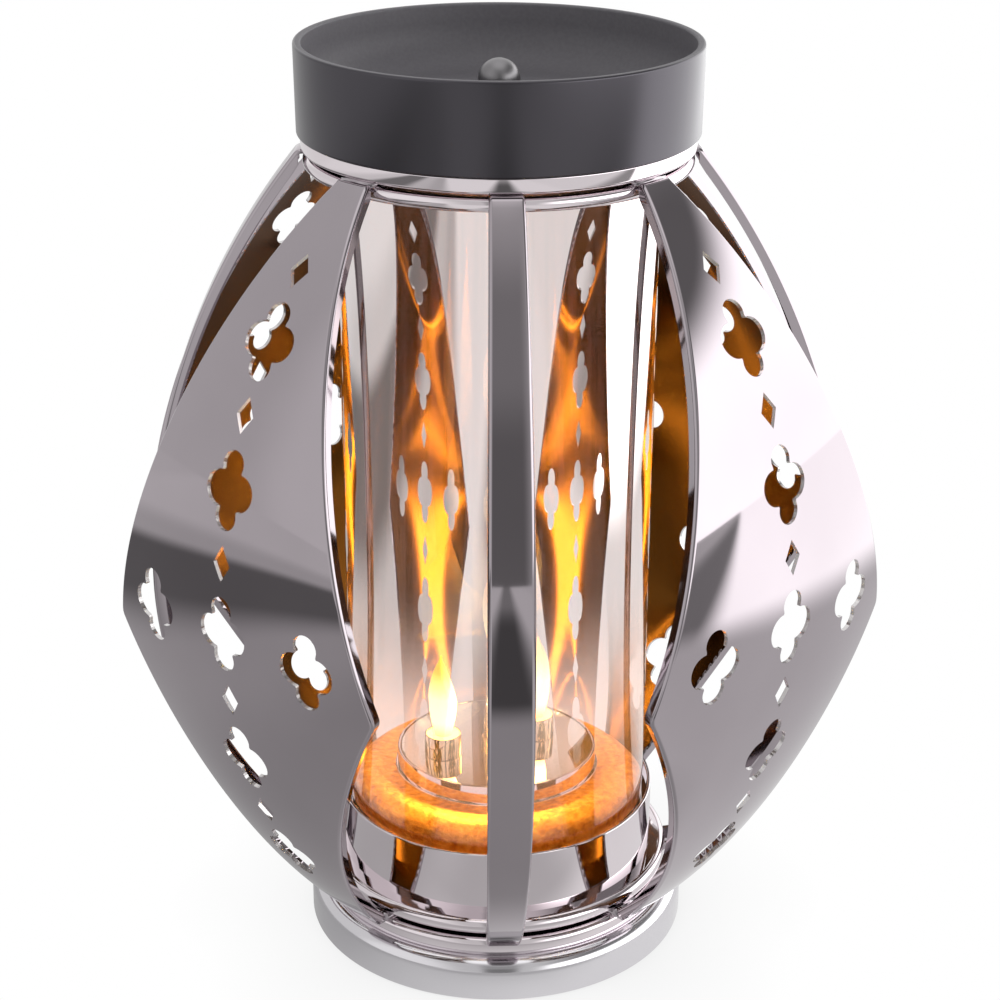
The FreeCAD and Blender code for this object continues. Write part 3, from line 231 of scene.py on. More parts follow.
def new_material(name):
    material = bpy.data.materials.new(name)
    material.use_nodes = True
    nodes = material.node_tree.nodes
    return material, nodes, material.node_tree.links, nodes["Principled BSDF"]


def noise(nodes, links, scale, detail=3):
    """Noise in object space, where one unit is a metre."""
    place = nodes.new("ShaderNodeTexCoord")
    texture = nodes.new("ShaderNodeTexNoise")
    texture.inputs["Scale"].default_value = scale
    texture.inputs["Detail"].default_value = detail
    links.new(place.outputs["Object"], texture.inputs["Vector"])
    return texture.outputs["Fac"]


def ramp(nodes, links, factor, stops):
    """Colours along a factor: stops are (position, colour)."""
    node = nodes.new("ShaderNodeValToRGB")
    elements = node.color_ramp.elements
    while len(elements) < len(stops):
        elements.new(0.5)
    for element, (position, colour) in zip(elements, stops):
        element.position = position
        element.color = (*colour, 1)
    links.new(factor, node.inputs["Fac"])
    return node.outputs["Color"]


def spread(nodes, links, factor, low, high):
    node = nodes.new("ShaderNodeMapRange")
    node.inputs["To Min"].default_value = low
    node.inputs["To Max"].default_value = high
    links.new(factor, node.inputs["Value"])
    return node.outputs["Result"]


def feed(links, level, socket):
    """Give a socket a number, or link it to another socket."""
    if isinstance(level, (int, float)):
        socket.default_value = level
    else:
        links.new(level, socket)


def profile(nodes, links, coordinate, level, steps):
    """A level along a coordinate that changes smoothly at each step of (start, end, new level)."""
    for start, end, new_level in steps:
        node = nodes.new("ShaderNodeMapRange")
        node.interpolation_type = "SMOOTHSTEP"
        node.inputs["From Min"].default_value = start
        node.inputs["From Max"].default_value = end
        feed(links, level, node.inputs["To Min"])
        feed(links, new_level, node.inputs["To Max"])
        links.new(coordinate, node.inputs["Value"])
        level = node.outputs["Result"]
    return level


def coordinates(nodes, links, kind):
    """The three parts of a texture coordinate."""
    place = nodes.new("ShaderNodeTexCoord")
    split = nodes.new("ShaderNodeSeparateXYZ")
    links.new(place.outputs[kind], split.inputs["Vector"])
    return split.outputs["X"], split.outputs["Y"], split.outputs["Z"]


def slanted(nodes, links, first, second, share):
    """One coordinate plus a share of another."""
    node = nodes.new("ShaderNodeMath")
    node.operation = "MULTIPLY_ADD"
    node.inputs[1].default_value = share
    links.new(second, node.inputs[0])
    links.new(first, node.inputs[2])
    return node.outputs["Value"]


def bump(nodes, links, factor, strength, distance):
    node = nodes.new("ShaderNodeBump")
    node.inputs["Strength"].default_value = strength
    node.inputs["Distance"].default_value = distance
    links.new(factor, node.inputs["Height"])
    return node.outputs["Normal"]


def plated_metal(name, dark, light, smooth, dull, streak=0.0):
    """Plated sheet with faint clouds in tone and polish; a streak draws its highlights out upright."""
    material, nodes, links, shader = new_material(name)
    shader.inputs["Metallic"].default_value = 1
    clouds = noise(nodes, links, scale=14)
    links.new(ramp(nodes, links, clouds, [(0.3, dark), (0.7, light)]), shader.inputs["Base Color"])
    links.new(spread(nodes, links, clouds, smooth, dull), shader.inputs["Roughness"])
    if streak:
        brushed = nodes.new("ShaderNodeTangent")
        brushed.direction_type = "RADIAL"
        brushed.axis = "Z"
        links.new(brushed.outputs["Tangent"], shader.inputs["Tangent"])
        shader.inputs["Anisotropic"].default_value = streak
    return material


def blend(nodes, links, share, first, second):
    """Two shaders mixed: share 0 gives the first, 1 the second."""
    mix = nodes.new("ShaderNodeMixShader")
    feed(links, share, mix.inputs["Fac"])
    links.new(first, mix.inputs[1])
    links.new(second, mix.inputs[2])
    return mix.outputs["Shader"]


def either_ray(nodes, links, first, second):
    """One for rays of two kinds, named as in the Light Path node, else nought."""
    path = nodes.new("ShaderNodeLightPath")
    either = nodes.new("ShaderNodeMath")
    either.operation = "MAXIMUM"
    links.new(path.outputs[first], either.inputs[0])
    links.new(path.outputs[second], either.inputs[1])
    return either.outputs["Value"]


def warm_veil(nodes, links):
    """A haze that scatters warm light to both sides."""
    back = nodes.new("ShaderNodeBsdfDiffuse")
    front = nodes.new("ShaderNodeBsdfTranslucent")
    for half in (back, front):
        half.inputs["Color"].default_value = (1, 0.55, 0.2, 1)
    return blend(nodes, links, 0.5, back.outputs["BSDF"], front.outputs["BSDF"])


def glass(name, lustre, haze, shadow_tint):
    """Glass with a mirror lustre that fades in with the height, and a thin haze lit by the flames.

    Lamps shine through it, dimmed by a tint.
    """
    material, nodes, links, shader = new_material(name)
    shader.inputs["Transmission Weight"].default_value = 1
    shader.inputs["IOR"].default_value = 1.45
    shader.inputs["Base Color"].default_value = (0.97, 0.89, 0.88, 1)
    clouds = noise(nodes, links, scale=20)
    links.new(spread(nodes, links, clouds, low=0.0, high=0.02), shader.inputs["Roughness"])
    height = coordinates(nodes, links, "Object")[2]
    fade = [(LUSTRE_START * MM, LUSTRE_FULL * MM, lustre)]
    links.new(profile(nodes, links, height, 0.0, fade), shader.inputs["Metallic"])
    body = blend(nodes, links, haze, shader.outputs["BSDF"], warm_veil(nodes, links))
    clear = nodes.new("ShaderNodeBsdfTransparent")
    clear.inputs["Color"].default_value = (*shadow_tint, 1)
    lamp_light = either_ray(nodes, links, "Is Shadow Ray", "Is Diffuse Ray")
    surface = blend(nodes, links, lamp_light, body, clear.outputs["BSDF"])
    links.new(surface, nodes["Material Output"].inputs["Surface"])
    return material


def copper_leaf():
    """Beaten copper leaf: crumpled bright flakes over darker seams."""
    material, nodes, links, shader = new_material("copper_leaf")
    shader.inputs["Metallic"].default_value = 1
    flakes = noise(nodes, links, scale=420, detail=6)
    colour = ramp(nodes, links, flakes, [
        (0.3, (0.42, 0.13, 0.015)),
        (0.5, (0.68, 0.25, 0.03)),
        (0.7, (0.78, 0.36, 0.06)),
    ])
    links.new(colour, shader.inputs["Base Color"])
    links.new(spread(nodes, links, flakes, low=0.45, high=0.25), shader.inputs["Roughness"])
    links.new(bump(nodes, links, flakes, strength=0.45, distance=0.001), shader.inputs["Normal"])
    return material


def glowing_resin(name, stops, strength):
    """Milky resin that glows by its own emission: colours go from the foot to the tip of the piece. On the
    wax this glow is painted light from its flame.
    """
    material, nodes, links, shader = new_material(name)
    height = coordinates(nodes, links, "Generated")[2]
    glow = ramp(nodes, links, height, stops)
    links.new(glow, shader.inputs["Base Color"])
    links.new(glow, shader.inputs["Emission Color"])
    shader.inputs["Emission Strength"].default_value = strength
    shader.inputs["Roughness"].default_value = 0.3
    return material


def grained(name, dark, light, dull=0.5, depth=0.3):
    """Moulded plastic or paint with a fine grain."""
    material, nodes, links, shader = new_material(name)
    grain = noise(nodes, links, scale=900)
    links.new(ramp(nodes, links, grain, [(0.35, dark), (0.65, light)]), shader.inputs["Base Color"])
    links.new(bump(nodes, links, grain, strength=depth, distance=0.0002), shader.inputs["Normal"])
    shader.inputs["Roughness"].default_value = dull
    return material


# Materials; plated ones have two tones, then their least and most roughness
DARK_MIRROR = plated_metal("dark_mirror", (0.405, 0.363, 0.388), (0.455, 0.41, 0.437), 0.035, 0.06)
COPPER_INSIDE = plated_metal("copper_inside", (0.08, 0.028, 0.004), (0.11, 0.039, 0.006), 0.17, 0.19, 1.0)
# The hole walls take a lighter metal than the petal's dark face: a painted highlight along the cut edges.
EDGE_PAINTED_HIGHLIGHT = plated_metal("edge_painted_highlight", (0.62, 0.6, 0.6), (0.72, 0.7, 0.7), 0.15, 0.25)
BRIGHT_CHROME = plated_metal("bright_chrome", (0.78, 0.71, 0.74), (0.85, 0.78, 0.81), 0.03, 0.06)
SATIN_CHROME = plated_metal("satin_chrome", (0.72, 0.7, 0.73), (0.8, 0.78, 0.81), 0.1, 0.15)
LID_COAT = plated_metal("lid_coat", (0.08, 0.075, 0.085), (0.088, 0.083, 0.093), 0.27, 0.31)
DISH_COAT = grained("dish_coat", (0.12, 0.114, 0.126), (0.135, 0.128, 0.141), 0.55, 0.03)
KNOB_COAT = plated_metal("knob_coat", (0.2, 0.195, 0.2), (0.28, 0.27, 0.28), 0.3, 0.4)
GLASS = glass("clear_glass", 0.0, 0.014, (1, 1, 1))
LUSTRE_GLASS = glass("lustre_glass", 0.92, 0.0, (0.7, 0.66, 0.62))
LEAF = copper_leaf()
MIRROR = plated_metal("mirror", (0.82, 0.8, 0.77), (0.88, 0.86, 0.83), 0.02, 0.04)
CUP_METAL = plated_metal("cup_metal", (0.78, 0.7, 0.6), (0.88, 0.8, 0.7), 0.06, 0.12)
BRASS = plated_metal("stick_brass", (0.7, 0.5, 0.28), (0.85, 0.64, 0.38), 0.1, 0.18)
# The wax glows by emission and is lighter towards its top: a painted glow of the flame's light in the wax.
GLOWING_WAX = glowing_resin("wax", [(0.0, (0.7, 0.4, 0.16)), (0.6, (0.9, 0.6, 0.25)), (1.0, (0.95, 0.68, 0.3))], 0.25)
FLAME = glowing_resin("flame", [
    (0.0, (1.0, 0.52, 0.13)),
    (0.2, (1.0, 0.8, 0.42)),
    (0.5, (1.0, 0.84, 0.48)),
    (0.8, (1.0, 0.55, 0.14)),
    (1.0, (1.0, 0.4, 0.07)),
], 3.0)
BLACK_PLASTIC = grained("black_plastic", (0.02, 0.02, 0.021), (0.03, 0.03, 0.032))
PALE_PLASTIC = grained("pale_plastic", (0.62, 0.62, 0.6), (0.7, 0.7, 0.68))
BOARD_GREEN = grained("board_green", (0.02, 0.12, 0.05), (0.03, 0.17, 0.07))
CELL_JACKET = grained("cell_jacket", (0.1, 0.1, 0.11), (0.14, 0.14, 0.15))
STEEL = plated_metal("fastener_steel", (0.5, 0.5, 0.5), (0.6, 0.6, 0.6), 0.25, 0.35)
LAMP_RESIN = glowing_resin("lamp_resin", [(0.0, (0.9, 0.7, 0.4)), (1.0, (1.0, 0.85, 0.55))], 1.0)

# The petal's finishes, by the index that its faces hold
OUTSIDE, INSIDE, HOLE_EDGE = range(3)
PETAL_FINISHES = [DARK_MIRROR, COPPER_INSIDE, EDGE_PAINTED_HIGHLIGHT]


# Foot, pedestal and glass

def dress_foot():
    inner = FOOT_RADIUS - SPUN_WALL
    flange = FOOT_HEIGHT - SPUN_WALL
    turned("foot", [
        (inner, 0, CUT_EDGE),
        (FOOT_RADIUS, 0, SOFT_EDGE),
        (FOOT_RADIUS, FOOT_HEIGHT, FOOT_SHOULDER),
        (FOOT_BORE, FOOT_HEIGHT, CUT_EDGE),
        (FOOT_BORE, flange, CUT_EDGE),
        (inner, flange, FOOT_SHOULDER - SPUN_WALL),
    ], SATIN_CHROME)


def dress_foot_rings():
    """The two rings that clamp the leaves' foot tabs."""
    turned("lower_ring", [
        (FOOT_BORE, FOOT_HEIGHT, 0),
        (LOWER_RING_RADIUS, FOOT_HEIGHT, LOWER_RING_EDGE),
        (LOWER_RING_RADIUS, LOWER_RING_TOP, FOOT_RING_ROUND),
        (FOOT_BORE, LOWER_RING_TOP, 0),
    ], BRIGHT_CHROME)
    turned("bead_ring", [
        (FOOT_BORE, BEAD_RING_BASE, 0),
        (BEAD_RING_RADIUS, BEAD_RING_BASE, FOOT_RING_ROUND),
        (BEAD_RING_RADIUS, BEAD_RING_TOP, FOOT_RING_ROUND),
        (FOOT_BORE, BEAD_RING_TOP, 0),
    ], BRIGHT_CHROME)


def dress_pedestal():
    """The drum under the glass, with a deck inside, a rim above it and a flange at its foot."""
    inner = PEDESTAL_RADIUS - PEDESTAL_WALL
    deck_under = DECK_TOP - SPUN_WALL
    flange_top = BEAD_RING_TOP + SPUN_WALL
    turned("pedestal", [
        (FOOT_BORE, BEAD_RING_TOP, 0),
        (PEDESTAL_RADIUS, BEAD_RING_TOP, 0),
        (PEDESTAL_RADIUS, PEDESTAL_TOP, SOFT_EDGE),
        (inner, PEDESTAL_TOP, SOFT_EDGE),
        (inner, DECK_TOP, 0),
        (DECK_HOLE, DECK_TOP, 0),
        (DECK_HOLE, deck_under, 0),
        (inner, deck_under, 0),
        (inner, flange_top, 0),
        (FOOT_BORE, flange_top, 0),
    ], BRIGHT_CHROME)


def dress_floor_plate():
    inner = FLOOR_RADIUS - FLOOR_WALL
    under = FLOOR_TOP - FLOOR_WALL
    turned("floor_plate", [
        (inner, DECK_TOP, 0),
        (FLOOR_RADIUS, DECK_TOP, 0),
        (FLOOR_RADIUS, FLOOR_TOP, FLOOR_ROUND),
        (DECK_HOLE, FLOOR_TOP, 0),
        (DECK_HOLE, under, 0),
        (inner, under, FLOOR_ROUND - FLOOR_WALL),
    ], LEAF)


def dress_glass():
    """The cylinder, with the lustre on its outer wall only."""
    inner = GLASS_RADIUS - GLASS_WALL
    cylinder = turned("glass_cylinder", [
        (inner, DECK_TOP, SMALL_EDGE),
        (GLASS_RADIUS, DECK_TOP, SMALL_EDGE),
        (GLASS_RADIUS, GLASS_TOP, LIP_EDGE),
        (inner, GLASS_TOP, LIP_EDGE),
    ], GLASS).data
    cylinder.materials.append(LUSTRE_GLASS)
    for face in cylinder.polygons:
        outwards = face.center.xy.dot(face.normal.xy) > 0
        upright = abs(face.normal.z) < 0.5
        if outwards and upright:
            face.material_index = 1


# Upper ring, collar, lid and knob

def dress_upper_ring():
    turned("upper_ring", [
        (RING_BORE, UPPER_RING_BASE, FINE_EDGE),
        (UPPER_RING_RADIUS, UPPER_RING_BASE, UPPER_RING_ROUND),
        (UPPER_RING_RADIUS, UPPER_RING_TOP, UPPER_RING_ROUND),
        (RING_BORE, UPPER_RING_TOP, 0),
    ], BRIGHT_CHROME)


def dress_collar():
    """The collar, with the spigot that the lid stands over."""
    spigot_inner = SPIGOT_RADIUS - SPIGOT_WALL
    turned("collar", [
        (RING_BORE, COLLAR_BASE, 0),
        (COLLAR_RADIUS, COLLAR_BASE, COLLAR_ROUND),
        (COLLAR_RADIUS, COLLAR_TOP, SMALL_EDGE),
        (SPIGOT_RADIUS, COLLAR_TOP, 0),
        (SPIGOT_RADIUS, SPIGOT_TOP, FINE_EDGE),
        (spigot_inner, SPIGOT_TOP, FINE_EDGE),
        (spigot_inner, COLLAR_TOP, 0),
        (RING_BORE, COLLAR_TOP, FINE_EDGE),
    ], BRIGHT_CHROME)


def dress_lid():
    """The lid, with a duller coat inside its dish."""
    skirt_inner = LID_FOOT_RADIUS - LID_WALL
    dish_radius = LID_RIM_RADIUS - LID_WALL
    lid = turned("lid", [
        (skirt_inner, LID_BASE, FINE_EDGE),
        (LID_FOOT_RADIUS, LID_BASE, SOFT_EDGE),
        (LID_RIM_RADIUS, LID_TOP, LIP_EDGE),
        (dish_radius, LID_TOP, LIP_EDGE),
        (dish_radius, DISH_FLOOR, DISH_ROUND),
        (KNOB_HOLE, DISH_FLOOR, 0),
        (KNOB_HOLE, DISH_UNDER, 0),
        (skirt_inner, DISH_UNDER, LID_INNER_ROUND),
    ], LID_COAT, LID).data
    lid.materials.append(DISH_COAT)
    rim_middle = LID_RIM_RADIUS - LID_WALL / 2
    for face in lid.polygons:
        inside_rim = face.center.xy.length < rim_middle * MM
        above_underside = face.center.z > (DISH_UNDER + MERGE_DISTANCE) * MM
        if inside_rim and above_underside:
            face.material_index = 1


def dress_knob():
    """The ball with its short neck, as one turned outline."""
    join = math.asin(KNOB_NECK / KNOB_RADIUS)
    steps = 24
    outline = [(0, DISH_FLOOR, 0), (KNOB_NECK, DISH_FLOOR, 0)]
    for step in range(steps + 1):
        angle = join + (math.pi - join) * step / steps
        outline.append((KNOB_RADIUS * math.sin(angle), KNOB_HEIGHT - KNOB_RADIUS * math.cos(angle), 0))
    turned("ball_knob", outline, KNOB_COAT, LID, SMALL_SEGMENTS)


# Curves and folds that straps and petals share

def arc_radius(belly, reach, rise):
    """Radius of the arc that stands upright at the belly and has come in to a reach at a rise."""
    drop = belly - reach
    return (drop ** 2 + rise ** 2) / (2 * drop)


TOP_RISE = COLLAR_BASE - BELLY_HEIGHT
FOOT_DROP = BELLY_HEIGHT - FOOT_TAB
PETAL_TOP_ARC = arc_radius(PETAL_BELLY, PETAL_TOP_REACH, TOP_RISE)
PETAL_FOOT_ARC = arc_radius(PETAL_BELLY, PETAL_FOOT_REACH, FOOT_DROP)
STRAP_TOP_ARC = arc_radius(STRAP_BELLY, STRAP_TOP_REACH, COLLAR_BASE - STRAP_BELLY_HEIGHT)
STRAP_FOOT_ARC = arc_radius(STRAP_BELLY, STRAP_FOOT_REACH, STRAP_BELLY_HEIGHT - FOOT_TAB)


def upright_arc(belly, top_arc, foot_arc, rise):
    """How far out a strap or petal is at a height above its belly."""
    radius = top_arc if rise > 0 else foot_arc
    return belly - radius + math.sqrt(radius ** 2 - rise ** 2)


def hem_depth(reach, lean):
    """How deep the turned-in hem can be at a reach, for a face that leans, to stay off the rings."""
    room = (reach - HEM_CLEARANCE) / lean if lean > 0 else 0
    return max(LEAF_THICK + HEM_SPARE, min(HEM_DEPTH, room))


def quarter_turn(steps):
    """Angles of a rounded fold, from the flat sheet to square across it."""
    return [math.pi / 2 * step / steps for step in range(steps + 1)]


# Straps

def circle_through(first, second, third):
    """Centre and radius of the circle through three points."""
    (ax, ay), (bx, by), (cx, cy) = first, second, third
    twice = 2 * (ax * (by - cy) + bx * (cy - ay) + cx * (ay - by))
    a, b, c = ax ** 2 + ay ** 2, bx ** 2 + by ** 2, cx ** 2 + cy ** 2
    x = (a * (by - cy) + b * (cy - ay) + c * (ay - by)) / twice
    y = (a * (cx - bx) + b * (ax - cx) + c * (bx - ax)) / twice
    return (x, y), math.hypot(ax - x, ay - y)


def strap_section(half, depth):
    """The strap cut across: a shallow channel with rounded folds, as sideways and depth."""
    right = []
    for turn in quarter_turn(STRAP_FOLD_STEPS):
        right.append((half - LEAF_THICK * (1 - math.sin(turn)), LEAF_THICK * (1 - math.cos(turn))))
    right += [(half, depth), (half - LEAF_THICK, depth), (half - LEAF_THICK, LEAF_THICK)]
    return right + [(-sideways, down) for sideways, down in reversed(right)]


def strap_mesh():
    """The bent strip with rounded bends and a hem turned in along both sides."""
    count = 90
    corners = [(FOOT_BORE + TAB_GAP, FOOT_TAB, 0)]
    for i in range(count + 1):
        height = FOOT_TAB + (COLLAR_BASE - FOOT_TAB) * i / count
        reach = upright_arc(STRAP_BELLY, STRAP_TOP_ARC, STRAP_FOOT_ARC, height - STRAP_BELLY_HEIGHT)
        bend = STRAP_BEND if i in (0, count) else 0
        corners.append((reach, height, bend))
    corners.append((RING_BORE + TAB_GAP, COLLAR_BASE, 0))
    path = rounded(corners, closed=False)
    (_, middle), radius = circle_through(
        (STRAP_HALF_TOP, COLLAR_BASE), (STRAP_HALF_BELLY, BELLY_HEIGHT), (STRAP_HALF_FOOT, FOOT_TAB))
    points = []
    for i, here in enumerate(path):
        along = (path[min(i + 1, len(path) - 1)] - path[max(i - 1, 0)]).normalized()
        out = Vector((along.y, -along.x))
        half = STRAP_HALF_BELLY - radius + math.sqrt(radius ** 2 - (here.y - middle) ** 2)
        section = strap_section(half, hem_depth(here.x, out.x))
        for sideways, depth in section:
            place = here - out * depth
            points.append((place.x, sideways, place.y))
    return smooth_mesh("strap", points, tube_faces(len(path), len(section)))


def dress_straps():
    mesh = strap_mesh()
    for place, bearing in STRAPS.items():
        copy = mesh.copy()
        copy.transform(Matrix.Rotation(math.radians(bearing), 4, "Z"))
        link("strap_" + place, copy, LANTERN, [DARK_MIRROR])


# Petals

def tangent_circle(first, second, centre, radius, touch):
    """The circle through two points that touches a small one: touch -1 from inside, 1 from outside."""
    first, second, centre = Vector(first), Vector(second), Vector(centre)
    middle = (first + second) / 2
    across = (second - first).orthogonal().normalized()
    farthest, halvings = 4000, 80

    def miss(shift):
        place = middle + across * shift
        return (place - centre).length - (place - first).length - touch * radius

    low, high = (-farthest, 0) if miss(-farthest) * miss(0) < 0 else (0, farthest)
    for _ in range(halvings):
        half = (low + high) / 2
        if miss(low) * miss(half) <= 0:
            high = half
        else:
            low = half
    place = middle + across * low
    return place, (place - first).length


CORNER = Vector((PETAL_HALF_BELLY - PETAL_CORNER_ROUND, PETAL_CORNER_HEIGHT))
UPPER_SIDE = tangent_circle(
    (PETAL_HALF_TOP, COLLAR_BASE), PETAL_SHOULDER, CORNER, PETAL_CORNER_ROUND, -1)
LOWER_SIDE = tangent_circle((PETAL_HALF_FOOT, FOOT_TAB), PETAL_WAIST, CORNER, PETAL_CORNER_ROUND, 1)
UPPER_TOUCH = CORNER + (CORNER - UPPER_SIDE[0]).normalized() * PETAL_CORNER_ROUND
LOWER_TOUCH = CORNER + (LOWER_SIDE[0] - CORNER).normalized() * PETAL_CORNER_ROUND


def petal_half_width(height):
    """Half the petal's width at a height: shoulder arc, round corner or hollow lower arc."""
    if height > UPPER_TOUCH.y:
        centre, radius = UPPER_SIDE
        return centre.x + math.sqrt(radius ** 2 - (height - centre.y) ** 2)
    if height > LOWER_TOUCH.y:
        return CORNER.x + math.sqrt(PETAL_CORNER_ROUND ** 2 - (height - CORNER.y) ** 2)
    centre, radius = LOWER_SIDE
    return centre.x - math.sqrt(radius ** 2 - (height - centre.y) ** 2)


def petal_height(along):
    """Height of a point of the centre line, from its way along the sheet above the belly."""
    radius = PETAL_TOP_ARC if along > 0 else PETAL_FOOT_ARC
    return BELLY_HEIGHT + radius * math.sin(along / radius)


def petal_along(height):
    rise = height - BELLY_HEIGHT
    radius = PETAL_TOP_ARC if rise > 0 else PETAL_FOOT_ARC
    return radius * math.asin(rise / radius)


def petal_bow(height):
    """Radius of the sheet's sideways dish at a height."""
    above = height > BELLY_HEIGHT
    share = (height - BELLY_HEIGHT) / TOP_RISE if above else (BELLY_HEIGHT - height) / FOOT_DROP
    end = BOW_TOP if above else BOW_FOOT
    return 1 / (1 / BOW_BELLY + (1 / end - 1 / BOW_BELLY) * share ** 2)


def petal_point(sideways, along):
    """A point of the petal's outside, for a petal that stands towards +X."""
    height = petal_height(along)
    bow = petal_bow(height)
    reach = upright_arc(PETAL_BELLY, PETAL_TOP_ARC, PETAL_FOOT_ARC, height - BELLY_HEIGHT)
    return Vector((reach - bow + math.sqrt(bow ** 2 - sideways ** 2), sideways, height))


def petal_normal(sideways, along):
    over = petal_point(sideways + SURFACE_STEP, along) - petal_point(sideways - SURFACE_STEP, along)
    up = petal_point(sideways, along + SURFACE_STEP) - petal_point(sideways, along - SURFACE_STEP)
    return over.cross(up).normalized()


def quatrefoil(count=96):
    """Outline of four overlapping circles, as the farthest of them along each ray."""
    lobes = [(0, side * TIP_LOBE_OUT, TIP_LOBE_RADIUS) for side in (1, -1)]
    lobes += [(side * SIDE_LOBE_OUT, 0, SIDE_LOBE_RADIUS) for side in (1, -1)]
    outline = []
    for i in range(count):
        angle = 2 * math.pi * i / count
        ray = Vector((math.cos(angle), math.sin(angle)))
        far = 0
        for x, y, radius in lobes:
            forward = ray.dot((x, y))
            inside = radius ** 2 - (x ** 2 + y ** 2 - forward ** 2)
            if inside >= 0:
                far = max(far, forward + math.sqrt(inside))
        outline.append(ray * far)
    return outline


def diamond(count=8):
    tips = [
        Vector((DIAMOND_HALF_WIDTH, 0)), Vector((0, DIAMOND_HALF_HEIGHT)),
        Vector((-DIAMOND_HALF_WIDTH, 0)), Vector((0, -DIAMOND_HALF_HEIGHT)),
    ]
    return [tips[i].lerp(tips[(i + 1) % 4], j / count) for i in range(4) for j in range(count)]


def petal_holes():
    """Centre and outline of every hole: a row along the middle and one on each side."""
    holes = []
    for step in range(-HOLES_BELOW, HOLES_ABOVE + 1):
        centre = Vector((0, step * HOLE_PITCH - MIDDLE_HOLE_DROP))
        holes.append((centre, quatrefoil() if step % 2 == 0 else diamond()))
    for side in (-1, 1):
        holes.append((Vector((side * SIDE_HOLE_REACH, -SIDE_HOLE_DROP)), quatrefoil()))
    return holes


def petal_border(step=1.6):
    """Where the petal's face starts to fold, as sideways and along, and the way out of the sheet there."""
    low, high = petal_along(FOOT_TAB), petal_along(COLLAR_BASE)
    count = round((high - low) / step)
    right = []
    for i in range(count + 1):
        along = low + (high - low) * i / count
        right.append(Vector((petal_half_width(petal_height(along)), along)))
    left = [Vector((-point.x, point.y)) for point in reversed(right)]
    ends = 8
    foot = [left[-1].lerp(right[0], i / ends) for i in range(1, ends)]
    top = [right[-1].lerp(left[0], i / ends) for i in range(1, ends)]
    edge = right + top + left + foot
    outward = []
    for i in range(len(edge)):
        along = edge[(i + 1) % len(edge)] - edge[i - 1]
        outward.append(Vector((along.y, -along.x)).normalized())
    return [point - away * LEAF_THICK for point, away in zip(edge, outward)], outward


def inside_loop(point, loop):
    """Whether a point lies inside a closed outline, by counting crossings."""
    inside = False
    for here, following in zip(loop, loop[1:] + loop[:1]):
        if (here.y > point.y) != (following.y > point.y):
            share = (point.y - here.y) / (following.y - here.y)
            if point.x < here.x + share * (following.x - here.x):
                inside = not inside
    return inside


def near_hole(point, outline, gap=1.0):
    return inside_loop(point, outline) or min((point - corner).length for corner in outline) < gap


def petal_flat(grid=2.2, margin=1.32, weld=1e-5):
    """The flattened petal: points, triangles and the way out at each point of the outer border."""
    border, outward = petal_border()
    holes = petal_holes()
    loops = [border] + [[centre + point for point in outline] for centre, outline in holes]
    points = []
    edges = []
    for loop in loops:
        first = len(points)
        points += loop
        edges += [(first + i, first + (i + 1) % len(loop)) for i in range(len(loop))]
    low, high = border[0].y, petal_along(COLLAR_BASE) - LEAF_THICK
    rows = round((high - low) / grid)
    for i in range(1, rows):
        along = low + (high - low) * i / rows
        half = petal_half_width(petal_height(along)) - LEAF_THICK - margin
        columns = max(2, round(2 * half / grid))
        row = [Vector((half * (2 * j / columns - 1), along)) for j in range(columns + 1)]
        for point in row:
            if not any(near_hole(point - centre, outline) for centre, outline in holes):
                points.append(point)
    flat, _, triangles, sources, *_ = geometry.delaunay_2d_cdt(points, edges, [], 0, weld, True)
    faces = []
    for face in triangles:
        middle = sum((flat[i] for i in face), Vector((0, 0))) / 3
        in_hole = any(inside_loop(middle - centre, outline) for centre, outline in holes)
        if inside_loop(middle, border) and not in_hole:
            faces.append(tuple(face))
    ways_out = {}
    for i, origins in enumerate(sources):
        on_border = [origin for origin in origins if origin < len(border)]
        if on_border:
            ways_out[i] = outward[on_border[0]]
    return flat, faces, ways_out


def hem_rows(place, way_out):
    """Points and normals down the folded hem at one border point, from the face to the inside."""
    start = petal_point(*place)
    normal = petal_normal(*place)
    away = petal_point(*(place + way_out * SURFACE_STEP)) - start
    away = (away - normal * away.dot(normal)).normalized()
    depth = hem_depth(start.x, normal.x)
    rows = []
    for turn in quarter_turn(HEM_FOLD_STEPS)[1:]:
        across, down = LEAF_THICK * math.sin(turn), LEAF_THICK * (1 - math.cos(turn))
        facing = normal * math.cos(turn) + away * math.sin(turn)
        rows.append((start + away * across - normal * down, facing))
    foot_out = start + away * LEAF_THICK - normal * depth
    foot_in = start - normal * depth
    rows += [(foot_out, away), (foot_out, -normal), (foot_in, -normal), (foot_in, -away)]
    rows.append((start - normal * LEAF_THICK, -away))
    return rows


def tab_corners():
    """Corners of the two flat end tabs, each with its low ring before its high ring."""
    corners = []
    for low, inside, outside in (
        (TOP_TAB, RING_BORE + TAB_GAP, PETAL_TOP_REACH - LEAF_THICK),
        (FOOT_TAB, FOOT_BORE + TAB_GAP, PETAL_FOOT_REACH - LEAF_THICK),
    ):
        for height in (low, low + LEAF_THICK):
            corners += [
                (inside, -PETAL_TAB_HALF, height), (outside, -PETAL_TAB_HALF, height),
                (outside, PETAL_TAB_HALF, height), (inside, PETAL_TAB_HALF, height),
            ]
    return corners


def box_faces(first):
    """The six faces of a box whose eight corners start at an index, low ring before high ring."""
    sides = [(first + i, first + (i + 1) % 4, first + 4 + (i + 1) % 4, first + 4 + i) for i in range(4)]
    return sides + [(first + 3, first + 2, first + 1, first), tuple(range(first + 4, first + 8))]


def outward_faces(faces, skin, normals):
    """The faces, each turned so that its front looks along the sheet's normal."""
    outer = []
    for face in faces:
        one, two, three = (skin[i] for i in face)
        outwards = (two - one).cross(three - one).dot(normals[face[0]]) > 0
        outer.append(face if outwards else face[::-1])
    return outer


def open_edges(faces):
    """The edges that belong to one face only."""
    edges = {edge for face in faces for edge in zip(face, face[1:] + face[:1])}
    return [edge for edge in edges if edge[::-1] not in edges]


